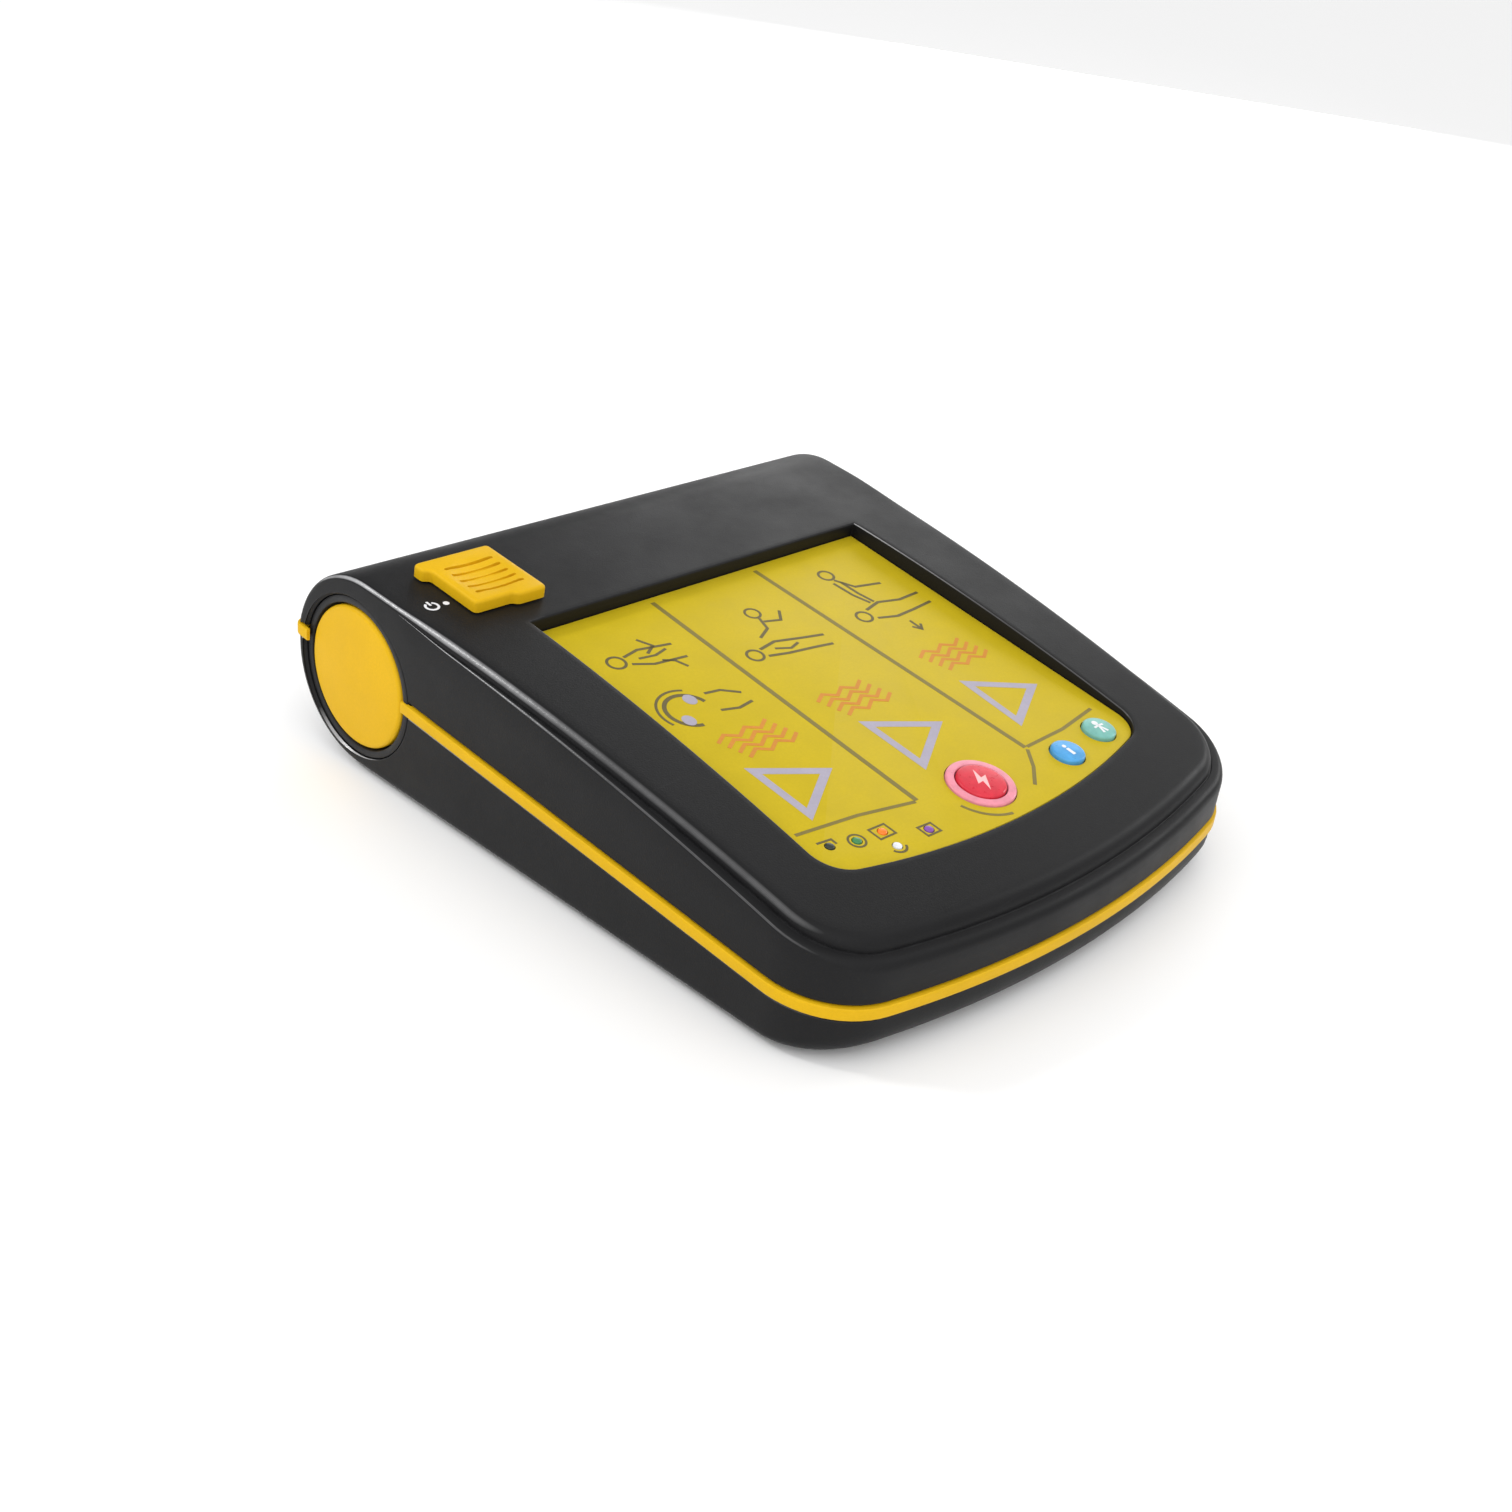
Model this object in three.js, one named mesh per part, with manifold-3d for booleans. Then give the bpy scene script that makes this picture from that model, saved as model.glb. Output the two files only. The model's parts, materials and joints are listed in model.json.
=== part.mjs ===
// Portable defibrillator: a wedge-shaped case with a round battery barrel along its back edge.
// Millimetres, +Z up. X is the operator's right, -Y the thin front edge, +Y the barrel.
// The origin is on the table, under the middle of the case.
import * as THREE from 'three';
import { mergeVertices } from 'three/addons/utils/BufferGeometryUtils.js';
import Module from 'manifold-3d';

const wasm = await Module();
wasm.setup();

// ---------------------------------------------------------------- driving dimensions
const CASE_LENGTH = 272.6;
const BARREL_RADIUS = 36.4;
const FOOT_HEIGHT = 2.5;
const BARREL_WIDTH = 236.4;
const SIDE_TAPER = 0.031;
const FRONT_BULGE = 15;
const FRONT_HALF_CHORD = 110.5;
const FRONT_CORNER = 31;
const WALL = 2.6;
const END_ROUND = 3;
const GAP = 0.3;

// top line: a slight crown that starts level with the top of the barrel
const CROWN_START_Y = 97.5;
const CROWN_START_Z = 75.22;
const CROWN_SLOPE = 0.057;
const CROWN_RADIUS = 1150;
const NOSE_RADIUS = 9;
const KEEL_RADIUS = 10;

// shoulder: the step that sets the raised top field back from the side walls
const SHOULDER_START_Y = 80;
const SHOULDER_GROWTH = 0.025;
const SHOULDER_FRONT = 5;
const SHOULDER_DROP = 3.6;

// parting band between the two shells, sloping down to the front
const PART_Z = 31.2;
const PART_SLOPE = 0.0918;
const BAND_HEIGHT = 4.4;
const BAND_PROUD = 1;
const BAND_DEPTH = 2.4;

// graphic panel and the well it lies in
const PANEL_HALF_WIDTH = 82.4;
const PANEL_BACK_Y = 52;
const PANEL_FRONT_Y = -105.8;
const PANEL_FRONT_RADIUS = 300;
const PANEL_CORNER = 13;
const PANEL_THICKNESS = 1.2;
const PANEL_Z = 59.3;
const PANEL_SLOPE = 0.1335;
const WELL_FLOOR = 2.2;
const WELL_WALL = 2.5;

// battery bay, a little below and behind the middle of the barrel
const BAY_SHIFT = [2, -1.6];
const BAY_OUTER = 29.9;
const BAY_INNER = 27.1;
const BAY_MOUTH_X = -117.6;
const BAY_END_X = 16;
const CAP_RADIUS = 26.3;
const CAP_FACE_X = -118;
const CELL_RADIUS = 8.5;
const CELL_LENGTH = 34.5;
const CELL_PITCH_RADIUS = 12.3;
const CELL_GAP = 1;
const CELLS_START_X = -105.2;
const PACK_OUTER = 25.9;
const PACK_INNER = 24.1;
const PACK_MOUTH_X = -110.5;
const PACK_END_X = 8;
const SEAL_GROOVE_X = [-104.2, -101.6];
const CONTACT_Y = 12;

// electrode socket, in the barrel's right end
const SOCKET_RADIUS = 20;
const SOCKET_X = [96.4, 116.4];
const SOCKET_MOUTH = [24, 13];
const SOCKET_FLOOR_X = 103.4;
const SOCKET_PIN_X = [94, 108.9];
const SOCKET_PIN_Y = 6;
const SOCKET_PIN_RADIUS = 1.6;

// controls, measured in the plane of the panel
const SHOCK_AT = [-0.5, -87];
const INFO_AT = [42.9, -91.2];
const CHILD_AT = [65.8, -88];
const SHOCK_RADIUS = 8.9;
const RING_OUTER = 12.4;
const RING_INNER = 9.2;
const SMALL_RADIUS = 6.3;
const KEY_PROUD = 1.6;
const LED_AT = [[-72, -84], [-62, -86.5], [-51, -87.5], [-52, -95], [-36, -94.5]];
const LED_RADIUS = 1.6;
const KEY_CLEARANCE = 0.4;
const KEYBOARD_TOP = -8.9;
const KEYBOARD_SIZE = [162, 34, 1.6];
const KEYBOARD_Y = -85;
const STANDOFF_AT = [[-78, -74], [-20, -72], [20, -72], [78, -74]];
const STANDOFF_RADIUS = 3;

// power slide on the top, left of the middle
const SLIDE_AT = [-83, 78];
const SLIDE_SIZE = [30.8, 34];
const SLIDE_PROUD = 5;
const SLIDE_TRAVEL = 6;
const SLIDE_FOOT = [26, 24];
const SLIDE_FOOT_Y = 4;
const SLIDE_POCKET_DEPTH = 2;
const STEM_Y = -5;

// screws, feet, boards and the larger components
const SCREW_AT = [[-97, -98], [97, -98], [-103, -18], [103, -18], [-104, 56], [104, 56]];
const SCREW_HEAD = [3.1, 2.4];
const SCREW_SHANK = 1.4;
const BOSS_RADIUS = 4.6;
const FOOT_AT = [[-84, -104], [84, -104], [-92, 92], [92, 92]];
const FOOT_RADIUS = 8;
const FOOT_RECESS = 1;
const BOARD_Z = 17;
const BOARD_SIZE = [176, 116, 1.6];
const BOARD_Y = -8;
const BOARD_POSTS = [[-80, -58], [80, -58], [-80, 44], [80, 44]];
const SPEAKER_AT = [0, -92];
const SPEAKER_RADIUS = 20;
const CAPACITOR_RADIUS = 25;
const CAPACITOR_X = [24, 90];
const SADDLES = [[-60, BAY_OUTER], [0, BAY_OUTER], [34, CAPACITOR_RADIUS], [78, CAPACITOR_RADIUS]];
const TRANSFORMER = { size: [36, 30, 24], at: [-50, 24] };
const RELAY = { size: [30, 22, 18], at: [4, 28] };
const HEAT_SINK = { size: [44, 14, 20], at: [56, 32] };
const PROCESSOR = { size: [20, 20, 2], at: [30, -20] };
const INDUCTOR = { bore: 5, radius: 12, height: 10, at: [-40, -22] };

const CASE_FRONT_Y = -CASE_LENGTH / 2;
const BARREL_Y = CASE_LENGTH / 2 - BARREL_RADIUS;
const BARREL_Z = FOOT_HEIGHT + BARREL_RADIUS;
const BAY_Y = BARREL_Y + BAY_SHIFT[0];
const BAY_Z = BARREL_Z + BAY_SHIFT[1];
const HALF_WIDTH = BARREL_WIDTH / 2;
const PART_ANGLE = Math.atan(PART_SLOPE);
const PANEL_ANGLE = Math.atan(PANEL_SLOPE);
const WELL_TOP = -PANEL_THICKNESS - GAP;
const BAY_CLOSED_X = BAY_END_X - 2.5;

// ---------------------------------------------------------------- helpers
function toSolid(geometry) {
  const bare = geometry.clone();
  bare.deleteAttribute('normal');
  bare.deleteAttribute('uv');
  const merged = mergeVertices(bare, 1e-4);
  const vertProperties = new Float32Array(merged.attributes.position.array);
  const triVerts = new Uint32Array(merged.index.array);
  return new wasm.Manifold(new wasm.Mesh({ numProp: 3, vertProperties, triVerts }));
}

function toGeometry(manifold) {
  const mesh = manifold.getMesh();
  const geometry = new THREE.BufferGeometry();
  geometry.setAttribute('position', new THREE.BufferAttribute(new Float32Array(mesh.vertProperties), 3));
  geometry.setIndex(new THREE.BufferAttribute(new Uint32Array(mesh.triVerts), 1));
  geometry.computeVertexNormals();
  return geometry;
}

function box(sx, sy, sz, x, y, z) {
  const geometry = new THREE.BoxGeometry(sx, sy, sz);
  geometry.translate(x, y, z);
  return toSolid(geometry);
}

function rodX(radius, x0, x1, y, z, segments = 48) {
  const geometry = new THREE.CylinderGeometry(radius, radius, x1 - x0, segments);
  geometry.rotateZ(Math.PI / 2);
  geometry.translate((x0 + x1) / 2, y, z);
  return toSolid(geometry);
}

function rodZ(radius, x, y, z0, z1, segments = 20) {
  const geometry = new THREE.CylinderGeometry(radius, radius, z1 - z0, segments);
  geometry.rotateX(Math.PI / 2);
  geometry.translate(x, y, (z0 + z1) / 2);
  return toSolid(geometry);
}

// a profile of [radius, height] pairs turned about Z
function turned(profile, segments = 32) {
  const points = profile.map(([radius, height]) => new THREE.Vector2(radius, height));
  const geometry = new THREE.LatheGeometry(points, segments);
  geometry.rotateX(Math.PI / 2);
  return geometry;
}

// a profile of [radius, x] pairs turned about the battery bay's axis
function turnedX(profile, segments = 48) {
  const points = profile.map(([radius, x]) => new THREE.Vector2(radius, x));
  const geometry = new THREE.LatheGeometry(points, segments);
  geometry.rotateZ(-Math.PI / 2);
  geometry.translate(0, BAY_Y, BAY_Z);
  return geometry;
}

function plate(points, z0, z1) {
  const shape = new THREE.Shape(points.map(([x, y]) => new THREE.Vector2(x, y)));
  const geometry = new THREE.ExtrudeGeometry(shape, { depth: z1 - z0, bevelEnabled: false });
  geometry.translate(0, 0, z0);
  return toSolid(geometry);
}

const group = new THREE.Group();
const finishes = {
  shell: { color: 0x38383a, roughness: 0.55, metalness: 0 },
  dark: { color: 0x1b1b1d, roughness: 0.6, metalness: 0 },
  band: { color: 0xeebd1c, roughness: 0.5, metalness: 0 },
  panel: { color: 0xe3c72c, roughness: 0.4, metalness: 0 },
  red: { color: 0xd8262c, roughness: 0.35, metalness: 0 },
  ring: { color: 0xf3b6c4, roughness: 0.3, metalness: 0 },
  blue: { color: 0x2f9be8, roughness: 0.35, metalness: 0 },
  teal: { color: 0x58c9b4, roughness: 0.35, metalness: 0 },
  rubber: { color: 0x151515, roughness: 0.9, metalness: 0 },
  steel: { color: 0xb9bcc0, roughness: 0.3, metalness: 1 },
  brass: { color: 0xc9a24a, roughness: 0.3, metalness: 1 },
  board: { color: 0x1d6b3c, roughness: 0.5, metalness: 0 },
  chip: { color: 0x202022, roughness: 0.4, metalness: 0 },
  sleeve: { color: 0x2f5fa8, roughness: 0.35, metalness: 0 },
  lens: { color: 0xf2f2ee, roughness: 0.2, metalness: 0 },
};

function add(name, shape, finish, parent = group) {
  const geometry = shape instanceof THREE.BufferGeometry ? shape : toGeometry(shape);
  const mesh = new THREE.Mesh(geometry, new THREE.MeshStandardMaterial(finishes[finish]));
  mesh.name = name;
  parent.add(mesh);
  return mesh;
}

// ---------------------------------------------------------------- case outline
function topZ(y) {
  const run = Math.max(CROWN_START_Y - y, 0);
  return CROWN_START_Z - CROWN_SLOPE * run - (run * run) / (2 * CROWN_RADIUS);
}

function caseHalfWidth(y) {
  return HALF_WIDTH - SIDE_TAPER * (BARREL_Y - y);
}

function topHalfWidth(y) {
  return caseHalfWidth(y) - SHOULDER_GROWTH * Math.max(SHOULDER_START_Y - y, 0);
}

// plan outline with a bowed front edge and rounded front corners, flaring out behind endY
function planOutline(halfWidth, frontY, bowRadius, corner, endY, flare) {
  const bowY = frontY + bowRadius;
  let cornerX = halfWidth(frontY + corner) - corner;
  let cornerY = bowY - Math.sqrt((bowRadius - corner) ** 2 - cornerX ** 2);
  cornerX = halfWidth(cornerY) - corner;
  cornerY = bowY - Math.sqrt((bowRadius - corner) ** 2 - cornerX ** 2);
  const meet = Math.atan2(cornerY - bowY, cornerX);
  const right = [];
  const bowSteps = 7;
  const cornerSteps = 7;
  for (let i = 0; i < bowSteps; i += 1) {
    const angle = -Math.PI / 2 + (meet + Math.PI / 2) * (i / bowSteps);
    right.push([bowRadius * Math.cos(angle), bowY + bowRadius * Math.sin(angle)]);
  }
  for (let i = 0; i <= cornerSteps; i += 1) {
    const angle = meet * (1 - i / cornerSteps);
    right.push([cornerX + corner * Math.cos(angle), cornerY + corner * Math.sin(angle)]);
  }
  right.push([halfWidth(endY), endY]);
  if (flare > 0) {
    right.push([halfWidth(endY) + flare, endY + flare]);
    right.push([halfWidth(endY) + flare, CASE_LENGTH]);
  }
  const left = right.slice(1).reverse().map(([x, y]) => [-x, y]);
  return [...right, ...left];
}

// side profile of the case in Y and Z, set in by `inset`, its top line lowered by `drop`
function sideProfile(inset, drop) {
  const points = [];
  const frontY = CASE_FRONT_Y + inset;
  const floorZ = FOOT_HEIGHT + inset;
  const keel = Math.max(KEEL_RADIUS - inset, 1);
  const nose = Math.max(NOSE_RADIUS - inset, 2);
  const radius = BARREL_RADIUS - inset;
  const barrelSteps = 20;
  for (let i = 0; i <= barrelSteps; i += 1) {
    const angle = -Math.PI / 2 + Math.PI * (i / barrelSteps);
    points.push([BARREL_Y + radius * Math.cos(angle), BARREL_Z + radius * Math.sin(angle)]);
  }
  const crownSteps = 12;
  const noseY = frontY + nose;
  const lowered = (y) => topZ(y) - inset - drop * Math.min(Math.max((SHOULDER_START_Y - y) / 30, 0), 1);
  for (let i = 1; i < crownSteps; i += 1) {
    const y = BARREL_Y + (noseY + 3 - BARREL_Y) * (i / crownSteps);
    points.push([y, lowered(y)]);
  }
  const noseZ = lowered(noseY) - nose * 1.02;
  const noseSteps = 5;
  for (let i = 0; i <= noseSteps; i += 1) {
    const angle = THREE.MathUtils.degToRad(104 + 76 * (i / noseSteps));
    points.push([noseY + nose * Math.cos(angle), noseZ + nose * Math.sin(angle)]);
  }
  const keelSteps = 3;
  for (let i = 0; i <= keelSteps; i += 1) {
    const angle = Math.PI + (Math.PI / 2) * (i / keelSteps);
    points.push([frontY + keel + keel * Math.cos(angle), floorZ + keel + keel * Math.sin(angle)]);
  }
  return points;
}

// the whole case as one solid, set in by `inset` all round
function envelope(inset, drop = 0, round = 0) {
  const shape = new THREE.Shape(sideProfile(inset, drop).map(([y, z]) => new THREE.Vector2(y, z)));
  const half = HALF_WIDTH - inset;
  const geometry = new THREE.ExtrudeGeometry(shape, {
    depth: 2 * (half - round),
    bevelEnabled: round > 0,
    bevelThickness: round,
    bevelSize: round,
    bevelOffset: -round,
    bevelSegments: 2,
  });
  const turn = new THREE.Matrix4().makeBasis(
    new THREE.Vector3(0, 1, 0),
    new THREE.Vector3(0, 0, 1),
    new THREE.Vector3(1, 0, 0),
  );
  geometry.applyMatrix4(turn);
  geometry.translate(round - half, 0, 0);
  const position = geometry.attributes.position;
  for (let i = 0; i < position.count; i += 1) {
    const y = position.getY(i);
    const width = (caseHalfWidth(y) - inset) / half;
    position.setX(i, position.getX(i) * width);
  }
  const bowRadius = (FRONT_HALF_CHORD ** 2 + FRONT_BULGE ** 2) / (2 * FRONT_BULGE);
  const outline = planOutline(
    (y) => caseHalfWidth(y) - inset,
    CASE_FRONT_Y + inset,
    bowRadius - inset,
    FRONT_CORNER - inset,
    CASE_FRONT_Y + FRONT_BULGE + FRONT_CORNER,
    12,
  );
  return toSolid(geometry).intersect(plate(outline, -10, 100));
}

// half spaces that lie along the sloping parting plane
function partingSlab(low, high) {
  const geometry = new THREE.BoxGeometry(400, 420, high - low);
  geometry.translate(0, 0, (low + high) / 2);
  geometry.rotateX(PART_ANGLE);
  geometry.translate(0, 0, PART_Z);
  return toSolid(geometry);
}

// ---------------------------------------------------------------- panel frame
const panelGroup = new THREE.Group();
panelGroup.position.z = PANEL_Z;
panelGroup.rotation.x = PANEL_ANGLE;
group.add(panelGroup);
const panelMatrix = new THREE.Matrix4().makeRotationX(PANEL_ANGLE).setPosition(0, 0, PANEL_Z);

function inPanelFrame(manifold) {
  return toSolid(toGeometry(manifold).applyMatrix4(panelMatrix));
}

function panelOutline(grow) {
  return planOutline(
    () => PANEL_HALF_WIDTH + grow,
    PANEL_FRONT_Y - grow,
    PANEL_FRONT_RADIUS + grow,
    PANEL_CORNER + grow,
    PANEL_BACK_Y + grow,
    0,
  );
}

const KEYS = [
  ['shock', SHOCK_AT, SHOCK_RADIUS, 'red'],
  ['info', INFO_AT, SMALL_RADIUS, 'blue'],
  ['child', CHILD_AT, SMALL_RADIUS, 'teal'],
];

// ---------------------------------------------------------------- upper shell
function topField(inset) {
  const bowRadius = (FRONT_HALF_CHORD ** 2 + FRONT_BULGE ** 2) / (2 * FRONT_BULGE);
  return planOutline(
    (y) => topHalfWidth(y) - inset,
    CASE_FRONT_Y + SHOULDER_FRONT + inset,
    bowRadius - SHOULDER_FRONT - inset,
    FRONT_CORNER + 3 - inset,
    SHOULDER_START_Y - 5,
    6,
  );
}

// slide pocket frame: level with the crown where the power slide sits
const slideAngle = Math.atan(CROWN_SLOPE + (CROWN_START_Y - SLIDE_AT[1]) / CROWN_RADIUS);
const slideMatrix = new THREE.Matrix4().makeRotationX(slideAngle).setPosition(
  SLIDE_AT[0],
  SLIDE_AT[1],
  topZ(SLIDE_AT[1]),
);

function inSlideFrame(manifold) {
  return toSolid(toGeometry(manifold).applyMatrix4(slideMatrix));
}

function buildUpperShell() {
  const above = partingSlab(BAND_HEIGHT / 2 + GAP, 120);
  const outer = envelope(0, 0, END_ROUND);
  const stepped = envelope(0, SHOULDER_DROP, END_ROUND);
  const field = plate(topField(0), 0, 100);
  let body = outer.intersect(field).add(stepped).intersect(above);

  // hollow: the low part fills the case, the high part stays inside the raised field
  const lowHollow = envelope(WALL, SHOULDER_DROP);
  const highHollow = envelope(WALL).intersect(plate(topField(WALL), 0, 100));
  const well = inPanelFrame(plate(panelOutline(WELL_WALL), WELL_TOP - WELL_FLOOR, 40));
  const pocketY = SLIDE_FOOT_Y - SLIDE_TRAVEL / 2;
  const slideBed = inSlideFrame(
    box(SLIDE_FOOT[0] + 7, SLIDE_FOOT[1] + SLIDE_TRAVEL + 7, 7, 0, pocketY, -1.2),
  );
  let hollow = lowHollow.add(highHollow).subtract(well).subtract(slideBed);
  for (const [x, y] of SCREW_AT) {
    hollow = hollow.subtract(rodZ(BOSS_RADIUS, x, y, 20, 90, 16));
  }
  body = body.subtract(hollow);

  // the well for the graphic panel, with the key, lamp and slide openings
  body = body.subtract(inPanelFrame(plate(panelOutline(GAP), WELL_TOP, 40)));
  for (const [, [x, y], radius] of KEYS) {
    body = body.subtract(inPanelFrame(rodZ(radius + KEY_CLEARANCE, x, y, -8, 4, 28)));
  }
  for (const [x, y] of LED_AT) {
    body = body.subtract(inPanelFrame(rodZ(LED_RADIUS + GAP, x, y, -8, 4, 12)));
  }
  for (const [x, y] of STANDOFF_AT) {
    const post = rodZ(STANDOFF_RADIUS, x, y, KEYBOARD_TOP + GAP, WELL_TOP - 1, 12);
    body = body.add(inPanelFrame(post));
  }
  const pocket = box(
    SLIDE_FOOT[0] + 1,
    SLIDE_FOOT[1] + SLIDE_TRAVEL + 1,
    12,
    0,
    pocketY,
    6 - SLIDE_POCKET_DEPTH,
  );
  const slot = box(8, 5 + SLIDE_TRAVEL, 16, 0, STEM_Y - SLIDE_TRAVEL / 2, -4);
  body = body.subtract(inSlideFrame(pocket)).subtract(inSlideFrame(slot));

  // pilot holes in the bosses, and the round openings at the barrel's ends
  for (const [x, y] of SCREW_AT) {
    body = body.subtract(rodZ(SCREW_SHANK + GAP, x, y, 10, PART_Z + PART_SLOPE * y + 13, 10));
  }
  body = body.subtract(rodX(BAY_OUTER + GAP, -140, -100, BAY_Y, BAY_Z));
  body = body.subtract(rodX(SOCKET_RADIUS + GAP, 100, 140, BAY_Y, BAY_Z));
  return body;
}

// ---------------------------------------------------------------- lower shell
function buildLowerShell() {
  const below = partingSlab(-120, -BAND_HEIGHT / 2 - GAP);
  let body = envelope(0, 0, END_ROUND).intersect(below);
  let hollow = envelope(WALL);
  for (const [x, y] of SCREW_AT) {
    hollow = hollow.subtract(rodZ(BOSS_RADIUS, x, y, 0, PART_Z + PART_SLOPE * y - 4, 16));
  }
  for (const [x, y] of BOARD_POSTS) {
    hollow = hollow.subtract(rodZ(3.5, x, y, 0, BOARD_Z - GAP, 12));
  }
  for (const [x, y] of FOOT_AT) {
    hollow = hollow.subtract(rodZ(FOOT_RADIUS + 2, x, y, 0, FOOT_HEIGHT + WALL + FOOT_RECESS, 12));
  }
  // saddle ribs across the barrel: two carry the battery bay, two the capacitor
  for (const [x, radius] of SADDLES) {
    const rib = box(3, 2 * BARREL_RADIUS, BARREL_Z - 4, x, BARREL_Y, (BARREL_Z - 4) / 2);
    hollow = hollow.subtract(rib.subtract(rodX(radius + GAP, x - 5, x + 5, BAY_Y, BAY_Z)));
  }
  body = body.subtract(hollow);
  for (const [x, y] of SCREW_AT) {
    body = body.subtract(rodZ(SCREW_SHANK + 0.5, x, y, 0, 60, 10));
    body = body.subtract(rodZ(SCREW_HEAD[0] + 0.4, x, y, 0, FOOT_HEIGHT + 4, 12));
  }
  for (const [x, y] of FOOT_AT) {
    body = body.subtract(rodZ(FOOT_RADIUS + GAP, x, y, 0, FOOT_HEIGHT + FOOT_RECESS, 16));
  }
  // sound slots under the speaker
  for (let i = -3; i <= 3; i += 1) {
    const length = 2 * Math.sqrt((SPEAKER_RADIUS - 5) ** 2 - (i * 4) ** 2);
    body = body.subtract(box(length, 1.8, 12, SPEAKER_AT[0], SPEAKER_AT[1] + i * 4, 4));
  }
  body = body.subtract(rodX(BAY_OUTER + GAP, -140, -100, BAY_Y, BAY_Z));
  body = body.subtract(rodX(SOCKET_RADIUS + GAP, 100, 140, BAY_Y, BAY_Z));
  return body;
}

// ---------------------------------------------------------------- parting band
// the openings at the barrel's two ends part it into a long front run and a short rear run
function buildBand() {
  const slab = partingSlab(-BAND_HEIGHT / 2, BAND_HEIGHT / 2);
  let ring = envelope(-BAND_PROUD, 0, END_ROUND).intersect(slab).subtract(envelope(BAND_DEPTH));
  ring = ring.subtract(rodX(BAY_OUTER + 2 * GAP, -140, -100, BAY_Y, BAY_Z));
  ring = ring.subtract(rodX(SOCKET_RADIUS + 2 * GAP, 100, 140, BAY_Y, BAY_Z));
  return ring.decompose().sort((a, b) => b.volume() - a.volume());
}

add('upper_shell', buildUpperShell(), 'shell');
add('lower_shell', buildLowerShell(), 'shell');
const [frontBand, rearBand] = buildBand();
add('parting_band_front', frontBand, 'band');
add('parting_band_rear', rearBand, 'band');

// ---------------------------------------------------------------- panel and controls
let panel = plate(panelOutline(0), -PANEL_THICKNESS, 0);
panel = panel.subtract(rodZ(RING_OUTER + GAP, ...SHOCK_AT, -4, 4, 32));
for (const [, [x, y], radius] of KEYS.slice(1)) {
  panel = panel.subtract(rodZ(radius + KEY_CLEARANCE, x, y, -4, 4, 28));
}
for (const [x, y] of LED_AT) {
  panel = panel.subtract(rodZ(LED_RADIUS + GAP, x, y, -4, 4, 12));
}
add('graphic_panel', panel, 'panel', panelGroup);

const ringProfile = [
  [RING_INNER + 0.1, -PANEL_THICKNESS],
  [RING_OUTER, -PANEL_THICKNESS],
  [RING_OUTER, 0.5],
  [RING_OUTER - 0.8, 1],
  [RING_INNER + 0.1, 1],
  [RING_INNER + 0.1, -PANEL_THICKNESS],
];
const shockRing = add('shock_light_ring', turned(ringProfile), 'ring', panelGroup);
shockRing.position.set(...SHOCK_AT, 0);

for (const [name, [x, y], radius, finish] of KEYS) {
  const profile = [
    [0, -5],
    [2.6, -5],
    [2.6, -2.8],
    [radius, -2.8],
    [radius, KEY_PROUD - 0.7],
    [radius - 0.7, KEY_PROUD],
    [radius * 0.5, KEY_PROUD + 0.2],
    [0, KEY_PROUD + 0.3],
  ];
  const key = add(`${name}_button`, turned(profile, 24), finish, panelGroup);
  key.position.set(x, y, 0);
  const dome = new THREE.BoxGeometry(6, 6, 1.9);
  const domeMesh = add(`${name}_key_switch`, dome, 'steel', panelGroup);
  domeMesh.position.set(x, y, KEYBOARD_TOP + GAP + 0.95);
}

LED_AT.forEach(([x, y], index) => {
  const profile = [
    [0, KEYBOARD_TOP + GAP],
    [LED_RADIUS, KEYBOARD_TOP + GAP],
    [LED_RADIUS, 0],
    [LED_RADIUS * 0.7, 0.5],
    [0, 0.6],
  ];
  const lamp = add(`status_lamp_${index + 1}`, turned(profile, 12), 'lens', panelGroup);
  lamp.position.set(x, y, 0);
});

const keyBoardMesh = add('key_board', new THREE.BoxGeometry(...KEYBOARD_SIZE), 'board', panelGroup);
keyBoardMesh.position.set(0, KEYBOARD_Y, KEYBOARD_TOP - KEYBOARD_SIZE[2] / 2);

// ---------------------------------------------------------------- power slide
const slideGroup = new THREE.Group();
slideMatrix.decompose(slideGroup.position, slideGroup.quaternion, slideGroup.scale);
group.add(slideGroup);

// the knob covers the pocket that its foot runs in, with one ear at the back left and one at the front right
function buildSlide() {
  const [width, length] = SLIDE_SIZE;
  const ear = 1.9;
  const points = [
    [-width / 2 + 2.7, ear - length / 2],
    [1.5, ear - length / 2],
    [3.4, -length / 2],
    [width / 2 - 1.5, -length / 2],
    [width / 2, 1.5 - length / 2],
    [width / 2, length / 2 - 1.5],
    [width / 2 - 1.5, length / 2],
    [-width / 2 - 0.6, length / 2],
    [-width / 2 - 1.6, length / 2 - 1],
    [-width / 2 - 1.6, length / 2 - 5.6],
    [-width / 2 + 1.2, length / 2 - 7],
    [-width / 2 + 1.2, ear - length / 2 + 1.5],
  ];
  let knob = plate(points, GAP + 0.2, SLIDE_PROUD);
  const footHeight = SLIDE_POCKET_DEPTH + 1;
  const footZ = GAP - SLIDE_POCKET_DEPTH + footHeight / 2;
  knob = knob.add(box(...SLIDE_FOOT, footHeight, 0, SLIDE_FOOT_Y, footZ));
  // shallow grip flutes across the knob
  for (let i = -2; i <= 2; i += 1) {
    knob = knob.subtract(box(width - 9, 1.6, 2, 0, i * 4.4, SLIDE_PROUD + 0.4));
  }
  return knob.add(box(6, 4, 9, 0, STEM_Y, -4));
}
add('power_slide', buildSlide(), 'band', slideGroup);

let powerSwitch = box(14, 16, 6, 0, STEM_Y - SLIDE_TRAVEL / 2 - 1, -11);
powerSwitch = powerSwitch.subtract(box(7, 11.5, 4, 0, STEM_Y - SLIDE_TRAVEL / 2, -8));
add('power_switch', powerSwitch, 'chip', slideGroup);

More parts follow.
